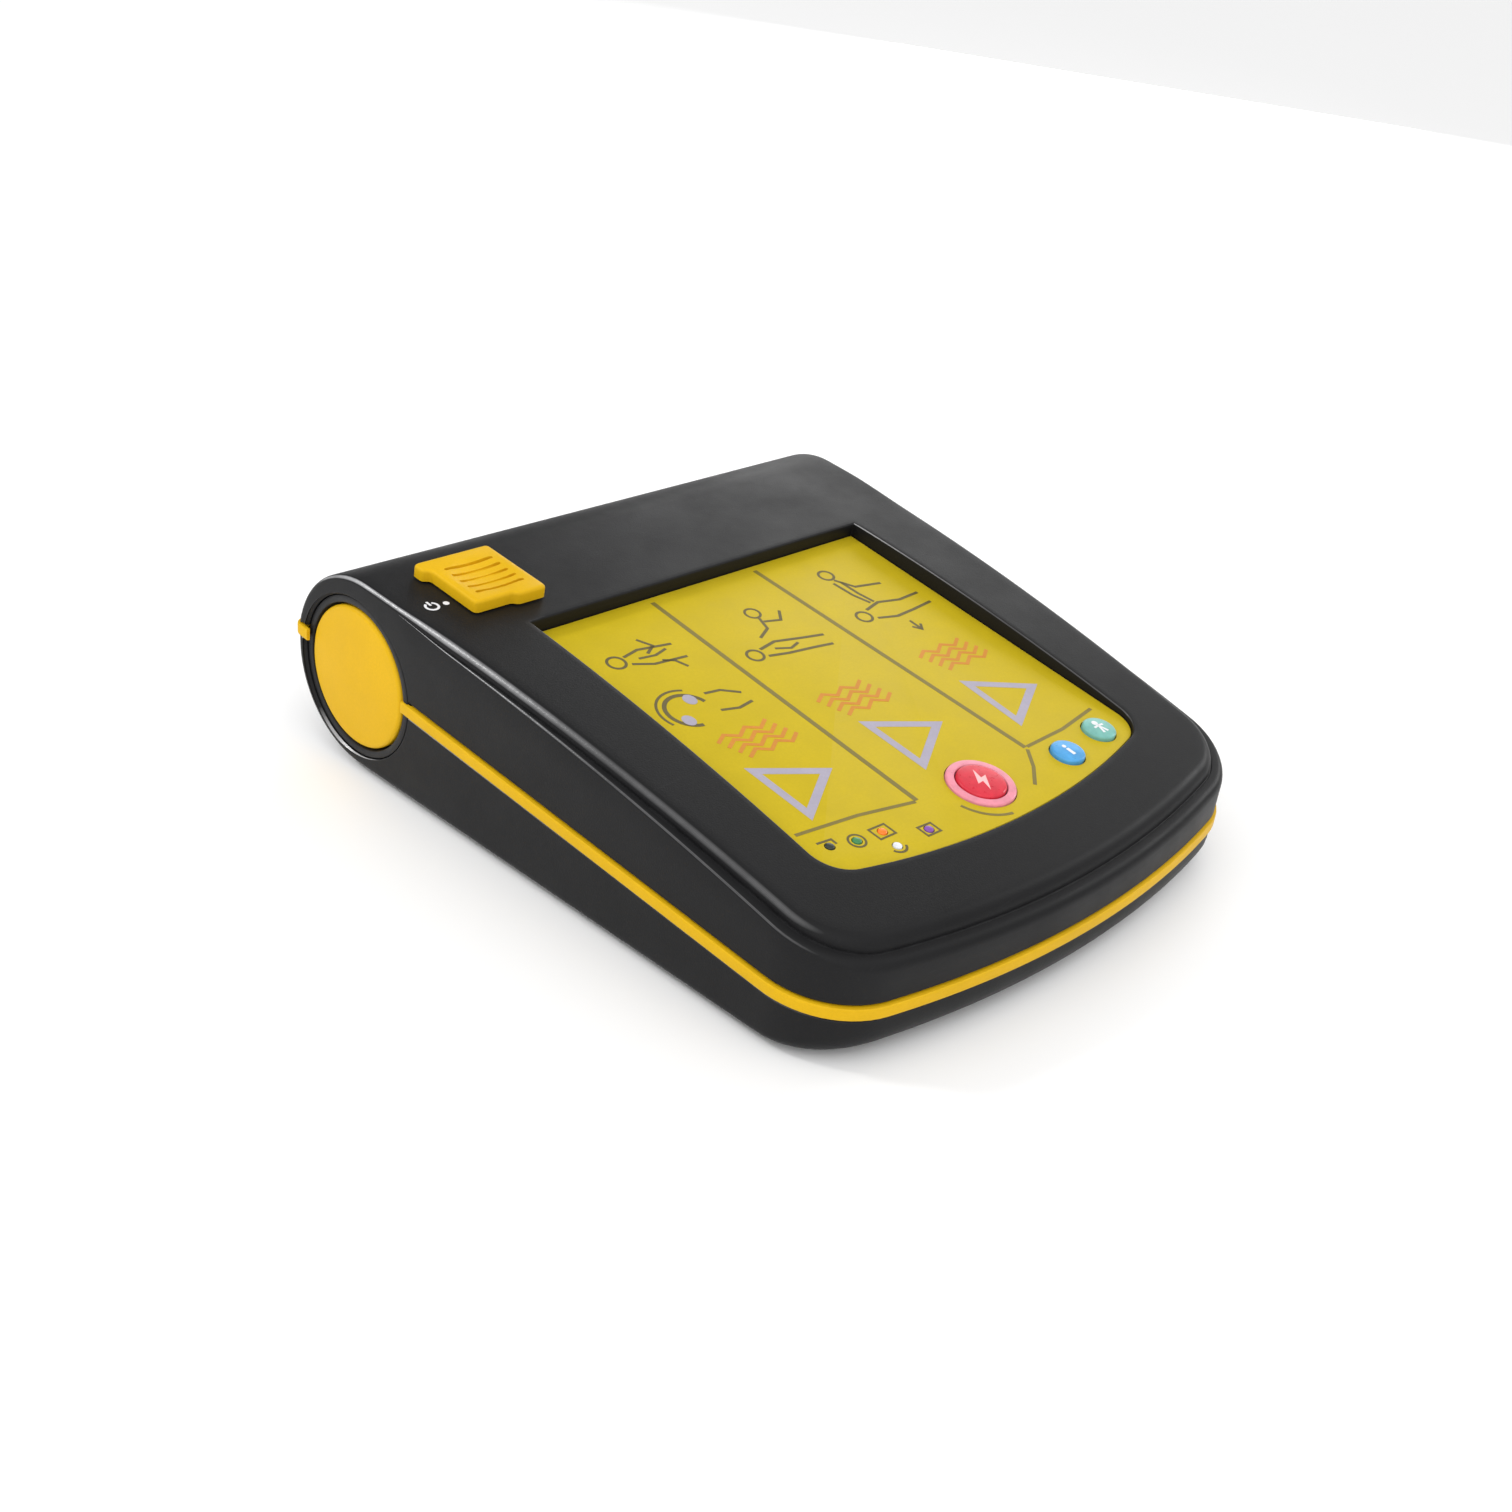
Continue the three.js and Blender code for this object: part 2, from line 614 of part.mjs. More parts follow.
// ---------------------------------------------------------------- battery bay and battery
const bayProfile = [
  [BAY_INNER, BAY_MOUTH_X],
  [BAY_OUTER, BAY_MOUTH_X],
  [BAY_OUTER, BAY_END_X],
  [4, BAY_END_X],
  [4, BAY_CLOSED_X],
  [BAY_INNER, BAY_CLOSED_X],
  [BAY_INNER, BAY_MOUTH_X],
];
let bay = toSolid(turnedX(bayProfile, 40));
for (const side of [-1, 1]) {
  bay = bay.subtract(rodX(2.2, BAY_CLOSED_X - 3, BAY_END_X + 3, BAY_Y + CONTACT_Y * side, BAY_Z, 16));
}
add('battery_sleeve', bay, 'dark');

const packProfile = [
  [PACK_INNER, PACK_MOUTH_X],
  [PACK_OUTER, PACK_MOUTH_X],
  [PACK_OUTER, SEAL_GROOVE_X[0]],
  [PACK_OUTER - 1, SEAL_GROOVE_X[0]],
  [PACK_OUTER - 1, SEAL_GROOVE_X[1]],
  [PACK_OUTER, SEAL_GROOVE_X[1]],
  [PACK_OUTER, PACK_END_X],
  [0, PACK_END_X],
  [0, PACK_END_X - 2],
  [PACK_INNER, PACK_END_X - 2],
  [PACK_INNER, PACK_MOUTH_X],
];
add('battery_case', turnedX(packProfile, 32), 'dark');
const sealInner = PACK_OUTER - 0.9;
const sealOuter = BAY_INNER - 0.25;
const sealProfile = [
  [sealInner, SEAL_GROOVE_X[0] + 0.2],
  [sealOuter, SEAL_GROOVE_X[0] + 0.4],
  [sealOuter, SEAL_GROOVE_X[1] - 0.4],
  [sealInner, SEAL_GROOVE_X[1] - 0.2],
  [sealInner, SEAL_GROOVE_X[0] + 0.2],
];
add('battery_seal', turnedX(sealProfile, 32), 'rubber');
const capProfile = [
  [0, CAP_FACE_X],
  [CAP_RADIUS - 1.6, CAP_FACE_X + 0.2],
  [CAP_RADIUS - 0.4, CAP_FACE_X + 0.9],
  [CAP_RADIUS, CAP_FACE_X + 2],
  [CAP_RADIUS, PACK_MOUTH_X - GAP],
  [PACK_INNER - GAP, PACK_MOUTH_X - GAP],
  [PACK_INNER - GAP, PACK_MOUTH_X + 4],
  [0, PACK_MOUTH_X + 4],
];
add('battery_cap', turnedX(capProfile), 'band');

let cellNumber = 0;
for (let row = 0; row < 3; row += 1) {
  const x0 = CELLS_START_X + row * (CELL_LENGTH + CELL_GAP);
  for (let i = 0; i < 4; i += 1) {
    const angle = Math.PI / 4 + (i * Math.PI) / 2;
    const y = CELL_PITCH_RADIUS * Math.cos(angle);
    const z = CELL_PITCH_RADIUS * Math.sin(angle);
    const cellProfile = [
      [0, x0],
      [CELL_RADIUS, x0],
      [CELL_RADIUS, x0 + CELL_LENGTH - 1.6],
      [3, x0 + CELL_LENGTH - 1.6],
      [3, x0 + CELL_LENGTH],
      [0, x0 + CELL_LENGTH],
    ];
    cellNumber += 1;
    const cell = add(`battery_cell_${cellNumber}`, turnedX(cellProfile, 12), 'sleeve');
    cell.position.set(0, y, z);
  }
}

let contactBlock = box(8, 36, 14, BAY_END_X + GAP + 4, BAY_Y, BAY_Z);
for (const side of [-1, 1]) {
  const y = BAY_Y + CONTACT_Y * side;
  contactBlock = contactBlock.subtract(rodX(1.8, BAY_END_X - 2, BAY_END_X + 10, y, BAY_Z, 16));
}
add('contact_block', contactBlock, 'dark');
[['contact_pin_plus', 1], ['contact_pin_minus', -1]].forEach(([name, side]) => {
  const pin = rodX(1.4, PACK_END_X + GAP, BAY_END_X + 7.5, BAY_Y + CONTACT_Y * side, BAY_Z, 12);
  add(name, pin, 'brass');
});

// ---------------------------------------------------------------- electrode socket, right barrel end
let socket = rodX(SOCKET_RADIUS, ...SOCKET_X, BAY_Y, BAY_Z, 36);
const mouthDepth = SOCKET_X[1] - SOCKET_FLOOR_X + 1;
socket = socket.subtract(
  box(mouthDepth, ...SOCKET_MOUTH, SOCKET_FLOOR_X + mouthDepth / 2, BAY_Y, BAY_Z),
);
for (const side of [-1, 1]) {
  const y = BAY_Y + SOCKET_PIN_Y * side;
  socket = socket.subtract(rodX(SOCKET_PIN_RADIUS + GAP, 90, 110, y, BAY_Z, 16));
}
add('electrode_socket', socket, 'dark');
[['socket_pin_front', -1], ['socket_pin_rear', 1]].forEach(([name, side]) => {
  const pin = rodX(SOCKET_PIN_RADIUS, ...SOCKET_PIN_X, BAY_Y + SOCKET_PIN_Y * side, BAY_Z, 12);
  add(name, pin, 'brass');
});

// ---------------------------------------------------------------- electronics
const capacitor = turnedX([
  [0, CAPACITOR_X[0] + 2],
  [CAPACITOR_RADIUS - 1.5, CAPACITOR_X[0] + 2],
  [CAPACITOR_RADIUS, CAPACITOR_X[0] + 3.5],
  [CAPACITOR_RADIUS, CAPACITOR_X[1] - 1],
  [CAPACITOR_RADIUS - 1, CAPACITOR_X[1]],
  [0, CAPACITOR_X[1]],
], 36);
add('hv_capacitor', capacitor, 'sleeve');

const boardTop = BOARD_Z + BOARD_SIZE[2] + GAP;

// a block component of the main board, standing clear of it
function component(name, { size, at }, finish) {
  add(name, box(...size, ...at, boardTop + size[2] / 2), finish);
}
add('main_board', box(...BOARD_SIZE, 0, BOARD_Y, BOARD_Z + BOARD_SIZE[2] / 2), 'board');
component('charge_transformer', TRANSFORMER, 'brass');
component('discharge_relay', RELAY, 'chip');
component('heat_sink', HEAT_SINK, 'steel');
component('processor', PROCESSOR, 'chip');
const inductorProfile = [
  [INDUCTOR.bore, 0],
  [INDUCTOR.radius - 1, 0],
  [INDUCTOR.radius, 1],
  [INDUCTOR.radius, INDUCTOR.height - 1],
  [INDUCTOR.radius - 1, INDUCTOR.height],
  [INDUCTOR.bore, INDUCTOR.height],
  [INDUCTOR.bore, 0],
];
const inductor = add('filter_inductor', turned(inductorProfile, 24), 'brass');
inductor.position.set(...INDUCTOR.at, boardTop);

const speakerProfile = [
  [0, 0],
  [SPEAKER_RADIUS, 0],
  [SPEAKER_RADIUS, 3],
  [SPEAKER_RADIUS * 0.7, 5],
  [SPEAKER_RADIUS * 0.7, 10],
  [0, 10],
];
const speaker = add('speaker', turned(speakerProfile), 'steel');
speaker.position.set(...SPEAKER_AT, FOOT_HEIGHT + WALL + GAP);

// ---------------------------------------------------------------- screws and feet
SCREW_AT.forEach(([x, y], index) => {
  const tip = PART_Z + PART_SLOPE * y + 7;
  const [headRadius, headHeight] = SCREW_HEAD;
  const profile = [
    [0, 0],
    [headRadius, 0],
    [headRadius, headHeight],
    [SCREW_SHANK, headHeight],
    [SCREW_SHANK, tip],
    [0, tip],
  ];
  const screw = add(`case_screw_${index + 1}`, turned(profile, 10), 'steel');
  screw.position.set(x, y, FOOT_HEIGHT + 1.2);
});

FOOT_AT.forEach(([x, y], index) => {
  const profile = [
    [0, 0],
    [FOOT_RADIUS - 0.8, 0],
    [FOOT_RADIUS, 0.8],
    [FOOT_RADIUS, FOOT_HEIGHT + FOOT_RECESS - GAP],
    [0, FOOT_HEIGHT + FOOT_RECESS - GAP],
  ];
  const foot = add(`rubber_foot_${index + 1}`, turned(profile, 16), 'rubber');
  foot.position.set(x, y, 0);
});

export default group;
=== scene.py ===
# Looks for the portable defibrillator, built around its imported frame.
import json
from math import asin, atan, atan2, cos, hypot, pi, radians, sin, sqrt

import bmesh
import bpy
import numpy as np
from mathutils import Matrix, Vector


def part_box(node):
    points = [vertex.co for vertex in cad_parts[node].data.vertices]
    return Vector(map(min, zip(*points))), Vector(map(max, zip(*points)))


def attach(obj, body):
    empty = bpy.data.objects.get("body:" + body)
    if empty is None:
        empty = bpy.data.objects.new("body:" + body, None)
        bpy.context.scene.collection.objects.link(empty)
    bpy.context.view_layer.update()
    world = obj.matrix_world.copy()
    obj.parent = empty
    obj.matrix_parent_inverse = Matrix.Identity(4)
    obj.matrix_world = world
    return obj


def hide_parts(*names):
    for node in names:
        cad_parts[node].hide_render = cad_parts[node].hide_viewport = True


bpy.ops.wm.read_factory_settings(use_empty=True)
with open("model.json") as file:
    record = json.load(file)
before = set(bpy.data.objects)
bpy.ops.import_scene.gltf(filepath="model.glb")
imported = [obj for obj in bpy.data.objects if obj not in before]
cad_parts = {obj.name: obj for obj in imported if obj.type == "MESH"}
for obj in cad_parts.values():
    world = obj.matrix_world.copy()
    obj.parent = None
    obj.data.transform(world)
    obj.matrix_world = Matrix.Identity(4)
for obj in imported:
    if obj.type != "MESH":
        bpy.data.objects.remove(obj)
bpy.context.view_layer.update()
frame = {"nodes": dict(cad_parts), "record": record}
nodes = frame["nodes"]
MM = 0.001

# ---- sizes of the case, in millimetres
WALL = 2.6
BARREL_R, BARREL_Y, BARREL_Z = 36.4, 99.9, 38.9
HALF_WIDTH, SIDE_TAPER = 118.2, 0.031
FRONT_Y = -136.3
BOW, BOW_CHORD = 15.0, 110.5
CORNER = 31.0
FLOOR_Z = 2.5
CROWN = (97.5, 75.22, 0.057, 1150.0)
SHOULDER_Y, SHOULDER_GROWTH = 80.0, 0.025
PART_Z, PART_SLOPE = 31.2, 0.0918
BAND_HALF = 2.2
SEAM = 0.3
PANEL_Z, PANEL_SLOPE = 59.3, 0.1335
PANEL_HALF, PANEL_BACK, PANEL_FRONT = 82.4, 52.0, -105.8
PANEL_BOW, PANEL_CORNER = 300.0, 13.0
PANEL_THICK = 1.2
KEEL, SIDE_KEEL = 10.0, 3.0
FRONT_RUN, SIDE_RUN = 11, 7
LIP, LIP_RISE = 0.7, 0.8
HOLLOW_OVERLAP = 1.5
BAY_Y, BAY_Z = 101.9, 37.3
AXIS = (0, BAY_Y, BAY_Z)
BAY_OUTER = 29.9
BAY_INNER = 27.1
CAP_R = 26.3
SOCKET_R = 20.0
SOCKET_FLOOR = 103.4
PANEL_ANGLE = atan(PANEL_SLOPE)
BOW_R = (BOW_CHORD ** 2 + BOW ** 2) / (2 * BOW)

# controls, in the panel's own plane
SHOCK_AT = (-0.5, -87.0)
INFO_AT = (42.9, -91.2)
CHILD_AT = (65.8, -88.0)
SHOCK_R, SMALL_R = 8.9, 6.3
RING_R = (9.2, 12.4)
KEY_GAP = 0.4
LAMP_AT = ((-72, -84), (-62, -86.5), (-51, -87.5), (-52, -95), (-36, -94.5))
LAMP_R = 1.6

# power slide, screws, feet and speaker
SLIDE_X, SLIDE_Y = -83.0, 78.0
STEM_Y = -5.0
SCREW_AT = ((-97, -98), (97, -98), (-103, -18), (103, -18), (-104, 56), (104, 56))
FOOT_AT = ((-84, -104), (84, -104), (-92, 92), (92, 92))
FOOT_R = 8.0
SPEAKER_Y, SPEAKER_R = -92.0, 20.0


def top_z(y):
    y0, z0, slope, radius = CROWN
    run = max(y0 - y, 0.0)
    return z0 - slope * run - run * run / (2 * radius)


def half_width(y):
    return HALF_WIDTH - SIDE_TAPER * (BARREL_Y - y)


def part_z(y):
    return PART_Z + PART_SLOPE * y


def extent(node, axis):
    """A node's lowest and highest place along one axis, in millimetres."""
    return [corner[axis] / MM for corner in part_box(node)]


def smooth(a, b, t):
    t = min(max((t - a) / (b - a), 0.0), 1.0)
    return t * t * (3 - 2 * t)


# ---- mesh helpers
def new_object(name, data):
    obj = bpy.data.objects.new(name, data)
    bpy.context.scene.collection.objects.link(obj)
    return obj


def from_bmesh(name, bm):
    mesh = bpy.data.meshes.new(name)
    bm.to_mesh(mesh)
    bm.free()
    return new_object(name, mesh)


def quarter(count):
    """Angles that divide a quarter turn."""
    return np.linspace(0, pi / 2, count)


class Skin:
    """Collects grids of points in millimetres and joins them into one closed mesh."""

    def __init__(self):
        self.bm = bmesh.new()

    def grid(self, rows):
        verts = [[self.bm.verts.new([c * MM for c in p]) for p in row] for row in rows]
        for a, b in zip(verts[:-1], verts[1:]):
            for i in range(len(a) - 1):
                self.bm.faces.new((a[i], a[i + 1], b[i + 1], b[i]))

    def close(self, name):
        bm = self.bm
        bmesh.ops.remove_doubles(bm, verts=bm.verts, dist=4e-6)
        bmesh.ops.dissolve_degenerate(bm, edges=bm.edges, dist=1e-6)
        rim = [e for e in bm.edges if e.is_boundary]
        if rim:
            bmesh.ops.edgeloop_fill(bm, edges=rim)
        bmesh.ops.recalc_face_normals(bm, faces=bm.faces)
        if bm.calc_volume(signed=True) < 0:
            bmesh.ops.reverse_faces(bm, faces=bm.faces)
        return from_bmesh(name, bm)


def lathe(name, profile, axis="Z", at=(0, 0, 0), segments=64):
    """A closed solid turned about an axis, from (radius, height) pairs in millimetres."""
    bm = bmesh.new()
    turn = [2 * pi * k / segments for k in range(segments)]
    rings = []
    for radius, height in profile:
        angles = turn[:1] if radius < 1e-6 else turn
        rings.append([bm.verts.new((radius * cos(a) * MM, radius * sin(a) * MM, height * MM)) for a in angles])
    for a, b in zip(rings[:-1], rings[1:]):
        for k in range(segments):
            n = (k + 1) % segments
            quad = list(dict.fromkeys([a[k % len(a)], a[n % len(a)], b[n % len(b)], b[k % len(b)]]))
            if len(quad) > 2:
                bm.faces.new(quad)
    for ring in (rings[0], rings[-1]):
        if len(ring) > 1 and profile[0] != profile[-1]:
            bm.faces.new(ring)
    bmesh.ops.remove_doubles(bm, verts=bm.verts, dist=1e-6)
    bmesh.ops.recalc_face_normals(bm, faces=bm.faces)
    if axis == "X":
        bm.transform(Matrix.Rotation(pi / 2, 4, "Y"))
    bm.transform(Matrix.Translation([c * MM for c in at]))
    return from_bmesh(name, bm)


def prism(name, outline, low, high, bevel=0.0, matrix=None):
    """An outline in millimetres raised from low to high, with an optional rounded top edge."""
    bm = bmesh.new()
    base = [bm.verts.new((x * MM, y * MM, low * MM)) for x, y in outline]
    face = bm.faces.new(base)
    out = bmesh.ops.extrude_face_region(bm, geom=[face])
    top = [v for v in out["geom"] if isinstance(v, bmesh.types.BMVert)]
    bmesh.ops.translate(bm, verts=top, vec=(0, 0, (high - low) * MM))
    if bevel > 0:
        edges = [e for e in bm.edges if e.verts[0] in top and e.verts[1] in top]
        bmesh.ops.bevel(bm, geom=edges, offset=bevel * MM, segments=3, profile=0.5, affect="EDGES")
    bmesh.ops.recalc_face_normals(bm, faces=bm.faces)
    if matrix is not None:
        bm.transform(matrix)
    return from_bmesh(name, bm)


def cut(obj, cutters, operation="DIFFERENCE"):
    for cutter in cutters:
        mod = obj.modifiers.new("cut", "BOOLEAN")
        mod.operation = operation
        mod.solver = "EXACT"
        mod.object = cutter
    bpy.context.view_layer.update()
    graph = bpy.context.evaluated_depsgraph_get()
    mesh = bpy.data.meshes.new_from_object(obj.evaluated_get(graph))
    obj.modifiers.clear()
    old = obj.data
    obj.data = mesh
    bpy.data.meshes.remove(old)
    for cutter in cutters:
        data = cutter.data
        bpy.data.objects.remove(cutter)
        bpy.data.meshes.remove(data)
    return obj


# ---- outlines
CORNER_STEPS, HALF_BOW_STEPS = 14, 18


def front_path(half, front_y, bow_r, corner):
    """Points and inward normals from the left corner, along the bowed front, to the right corner."""
    bow_y = front_y + bow_r
    cy = front_y + corner
    for _ in range(3):
        cx = half(cy) - corner
        cy = bow_y - sqrt((bow_r - corner) ** 2 - cx ** 2)
    meet = atan2(cy - bow_y, cx)
    turn = [(cx, cy, corner, meet * (i / CORNER_STEPS)) for i in range(CORNER_STEPS + 1)]
    for i in range(1, HALF_BOW_STEPS + 1):
        turn.append((0, bow_y, bow_r, meet + (-pi / 2 - meet) * (i / HALF_BOW_STEPS)))
    path = [((x + r * cos(a), y + r * sin(a)), (-cos(a), -sin(a))) for x, y, r, a in turn]
    left = [((-p[0], p[1]), (-n[0], n[1])) for p, n in path]
    return left + path[-2::-1]


CASE_FRONT = front_path(half_width, FRONT_Y, BOW_R, CORNER)
CORNER_Y = CASE_FRONT[0][0][1]
STEPS_FRONT = len(CASE_FRONT)


def well_path(grow):
    path = front_path(lambda y: PANEL_HALF + grow, PANEL_FRONT - grow, PANEL_BOW + grow, PANEL_CORNER + grow)
    return [p for p, _ in path]


def on_panel(x, y, n):
    """A point of the panel's own frame, in the case's frame."""
    c, s = cos(PANEL_ANGLE), sin(PANEL_ANGLE)
    return (x, y * c - n * s, PANEL_Z + y * s + n * c)


def rim_height(x, y, lower):
    """Height above the panel plane at which the well's wall meets the top surface."""
    n = 5.0
    for _ in range(5):
        _, wy, wz = on_panel(x, y, n)
        n += (top_z(wy) - lower - wz) / cos(PANEL_ANGLE)
    return n


PANEL_MATRIX = Matrix.Translation((0, 0, PANEL_Z * MM)) @ Matrix.Rotation(PANEL_ANGLE, 4, "X")


def shell_wall(x, y, nx, ny, start, end, lip, end_y=None):
    """Points from the parting line, with its small lip, to where the shoulder or the foot begins."""
    rises = end > start
    near, far = (min, max) if rises else (max, min)
    points = [(x, y, start)]
    if lip:
        points = [(x + nx * LIP, y + ny * LIP, start),
                  (x, y, near(start + (LIP_RISE if rises else -LIP_RISE), end))]
    for k in (0.33, 0.66):
        wall_y = y if end_y is None else y + (end_y - y) * k
        points.append((x, wall_y, far(start + (end - start) * k, points[-1][2])))
    return points


def barrel_arc(radius, start, end, steps):
    """(Y, Z, normal Y, normal Z) stations round the barrel."""
    turn = [start + (end - start) * i / steps for i in range(steps + 1)]
    return [(BARREL_Y + radius * cos(a), BARREL_Z + radius * sin(a), cos(a), sin(a)) for a in turn]


def front_share(index):
    """0 at the corners, 1 along the middle of the front."""
    return smooth(0, CORNER_STEPS, min(index, STEPS_FRONT - 1 - index))


# ---- upper shell
BARREL_TOP = radians(93.8)
FLAT_YS = (90, 84, 80, 76, 72, 68, 64, 60, 57.5)
SIDE_COUNT = 24
ACROSS = [2 * i / 20 - 1 for i in range(21)]
WELL_RIM, WELL_ROUND, WELL_FLOOR = 2.5, 0.7, 2.2
FRONT_GAP = 5.0
FIELD_STEPS = (0.12, 0.4, 0.7, 1.0)


def upper_block(name, inset, detail):
    """The upper shell's outer form, or with an inset its hollow, as one closed block."""
    skin = Skin()
    low = BAND_HALF + SEAM if detail else -HOLLOW_OVERLAP
    grow = SEAM + (WALL if inset else 0.0)
    floor_n = -PANEL_THICK - SEAM - (WELL_FLOOR if inset else 0.0)
    back_y = PANEL_BACK + grow
    ring_y = (back_y + WELL_RIM) * cos(PANEL_ANGLE) - 6 * sin(PANEL_ANGLE)
    radius = BARREL_R - inset

    # stations behind the well: barrel angles, then the flat run down to the well's back rim
    phi0 = asin((part_z(BARREL_Y + radius) + low - BARREL_Z) / radius)
    back = barrel_arc(radius, phi0, BARREL_TOP, 18)
    flat_ys = [y for y in FLAT_YS if y > ring_y + 1] + [ring_y]
    back += [(y, top_z(y) - inset, 0.0, 1.0) for y in flat_ys]

    side_ys = [ring_y + (CORNER_Y - ring_y) * (i / SIDE_COUNT) for i in range(1, SIDE_COUNT)]

    def section(y, front):
        """(inset, depth) pairs from the wall's top over the shoulder to the raised field."""
        edge = 2.0 + 1.4 * smooth(84, 50, y) + 0.8 * front
        gap = SHOULDER_GROWTH * max(SHOULDER_Y - y, 0.0)
        gap = gap + (FRONT_GAP - gap) * front
        if not detail:
            return [(0, 5.5), (0.2, 5.2), (gap + 1.5, 5.2), (gap + 1.8, 4), (gap + 1.8, 0.4), (gap + 2.2, 0)]
        share = min(gap, 1.0)
        ledge = edge + 0.25 * share
        r1 = min(1.2 + 1.6 * front, gap * 0.7)
        rows = [(r1 * (1 - sin(a)), ledge + r1 * (1 - cos(a))) for a in np.linspace(pi / 2, 0, 5)]
        rows[0] = (0.0, ledge + r1)
        foot = gap + 0.25 * share
        rows += [(max(gap - 0.35, gap * 0.8), ledge + 0.06 * share),
                 (max(gap - 0.05, gap * 0.9), ledge + 0.35 * share), (foot, ledge + 0.3 * share)]
        return rows + [(foot + edge * (1 - cos(a)), edge * (1 - sin(a))) for a in quarter(8)]

    inner_x = PANEL_HALF + grow + WELL_RIM
    well_outer = well_path(grow + WELL_RIM)

    def column(side, y, z, ny, nz, inner_y=None):
        width = half_width(y) - inset
        rows = section(y, 0.0)
        y0 = y - ny * rows[0][1]
        bottom = part_z(y0) + low
        first = max(z - nz * rows[0][1], bottom)
        pts = shell_wall(side * width, y0, -side, 0, bottom, first, detail)
        for d, p in rows:
            yy = y - ny * p
            pts.append((side * (width - d), yy, max(z - nz * p, part_z(yy) + low)))
        start = pts[-1]
        for k in FIELD_STEPS:
            x = start[0] + (side * inner_x - start[0]) * k
            if inner_y is None:
                pts.append((x, y, max(z, part_z(y) + low)))
            else:
                yy = y + (inner_y - y) * k
                pts.append((x, yy, top_z(yy) - inset))
        return pts

    def front_column(index):
        (px, py), (nx, ny) = CASE_FRONT[index]
        x, y = px + nx * inset, py + ny * inset
        rows = section(CORNER_Y, front_share(index))
        zs = [top_z(y + ny * d) - inset - p for d, p in rows]
        pts = shell_wall(x, y, nx, ny, part_z(y) + low, zs[0], detail)
        for (d, _), z in zip(rows, zs):
            pts.append((x + nx * d, y + ny * d, z))
        sx, sy, _ = pts[-1]
        ox, oy = well_outer[index]
        oy = rim_plan(ox, oy)
        for k in FIELD_STEPS:
            px, py = sx + (ox - sx) * k, sy + (oy - sy) * k
            pts.append((px, py, top_z(py) - inset))
        return pts

    def rim_plan(x, y):
        """The plan Y at which the well's wall meets the top surface."""
        return on_panel(x, y, rim_height(x, y, inset))[1]

    # the stations along the sides lean, so that they reach the well where its own corner begins
    corner_y = rim_plan(*well_outer[0])
    inner_ys = [ring_y + (corner_y - ring_y) * (y - ring_y) / (CORNER_Y - ring_y) for y in side_ys]

    def side_strip(side):
        strip = [column(side, *station) for station in back]
        return strip + [column(side, y, top_z(y) - inset, 0.0, 1.0, inner_y) for y, inner_y in zip(side_ys, inner_ys)]

    skin.grid(side_strip(-1) + [front_column(i) for i in range(STEPS_FRONT)] + side_strip(1)[::-1])

    # the top between the two sides, from the parting line at the back to the well's rim
    xs = [inner_x * share for share in ACROSS]
    skin.grid([[(x, y, max(z, part_z(y) + low)) for x in xs] for y, z, _, _ in back])

    # the well: rim loop on the top surface, small round, wall and floor
    loop = [(-inner_x, y) for y in [ring_y] + inner_ys] + [(p[0], rim_plan(*p)) for p in well_outer]
    well_inner = well_path(grow)

    def local_y(y):
        """The panel-frame Y whose wall meets the top surface at this Y."""
        guess = y
        for _ in range(6):
            guess += y - rim_plan(0, guess)
        return guess

    def well_column(outer_xy, lx, ly, nx, ny):
        n_rim = rim_height(lx, ly, inset)
        pts = [(*outer_xy, top_z(outer_xy[1]) - inset)]
        for a in quarter(4):
            d, p = WELL_ROUND * (1 - sin(a)), WELL_ROUND * (1 - cos(a))
            px, py, _ = on_panel(lx + nx * d, ly + ny * d, n_rim)
            pts.append((px, py, top_z(py) - inset - p))
        pts.append(on_panel(lx, ly, (n_rim - WELL_ROUND + floor_n) / 2))
        pts.append(on_panel(lx, ly, floor_n))
        return pts

    columns = []
    for k in range(SIDE_COUNT):
        ly = back_y if k == 0 else min(local_y(loop[k][1]), back_y)
        columns.append(well_column(loop[k], -(PANEL_HALF + grow), ly, -1.0, 1.0 if k == 0 else 0.0))
    for index, p in enumerate(well_inner):
        ox, oy = well_outer[index]
        nx, ny = (ox - p[0]) / WELL_RIM, (oy - p[1]) / WELL_RIM
        columns.append(well_column(loop[SIDE_COUNT + index], p[0], p[1], nx, ny))
    columns += [[(-x, y, z) for x, y, z in points] for points in columns[SIDE_COUNT - 1::-1]]
    for x in xs[-2:0:-1]:
        lx = x * (PANEL_HALF + grow) / inner_x
        columns.append(well_column((x, ring_y), lx, back_y, 0.0, 1.0))
    columns.append(columns[0])
    skin.grid(columns)
    return skin.close(name)


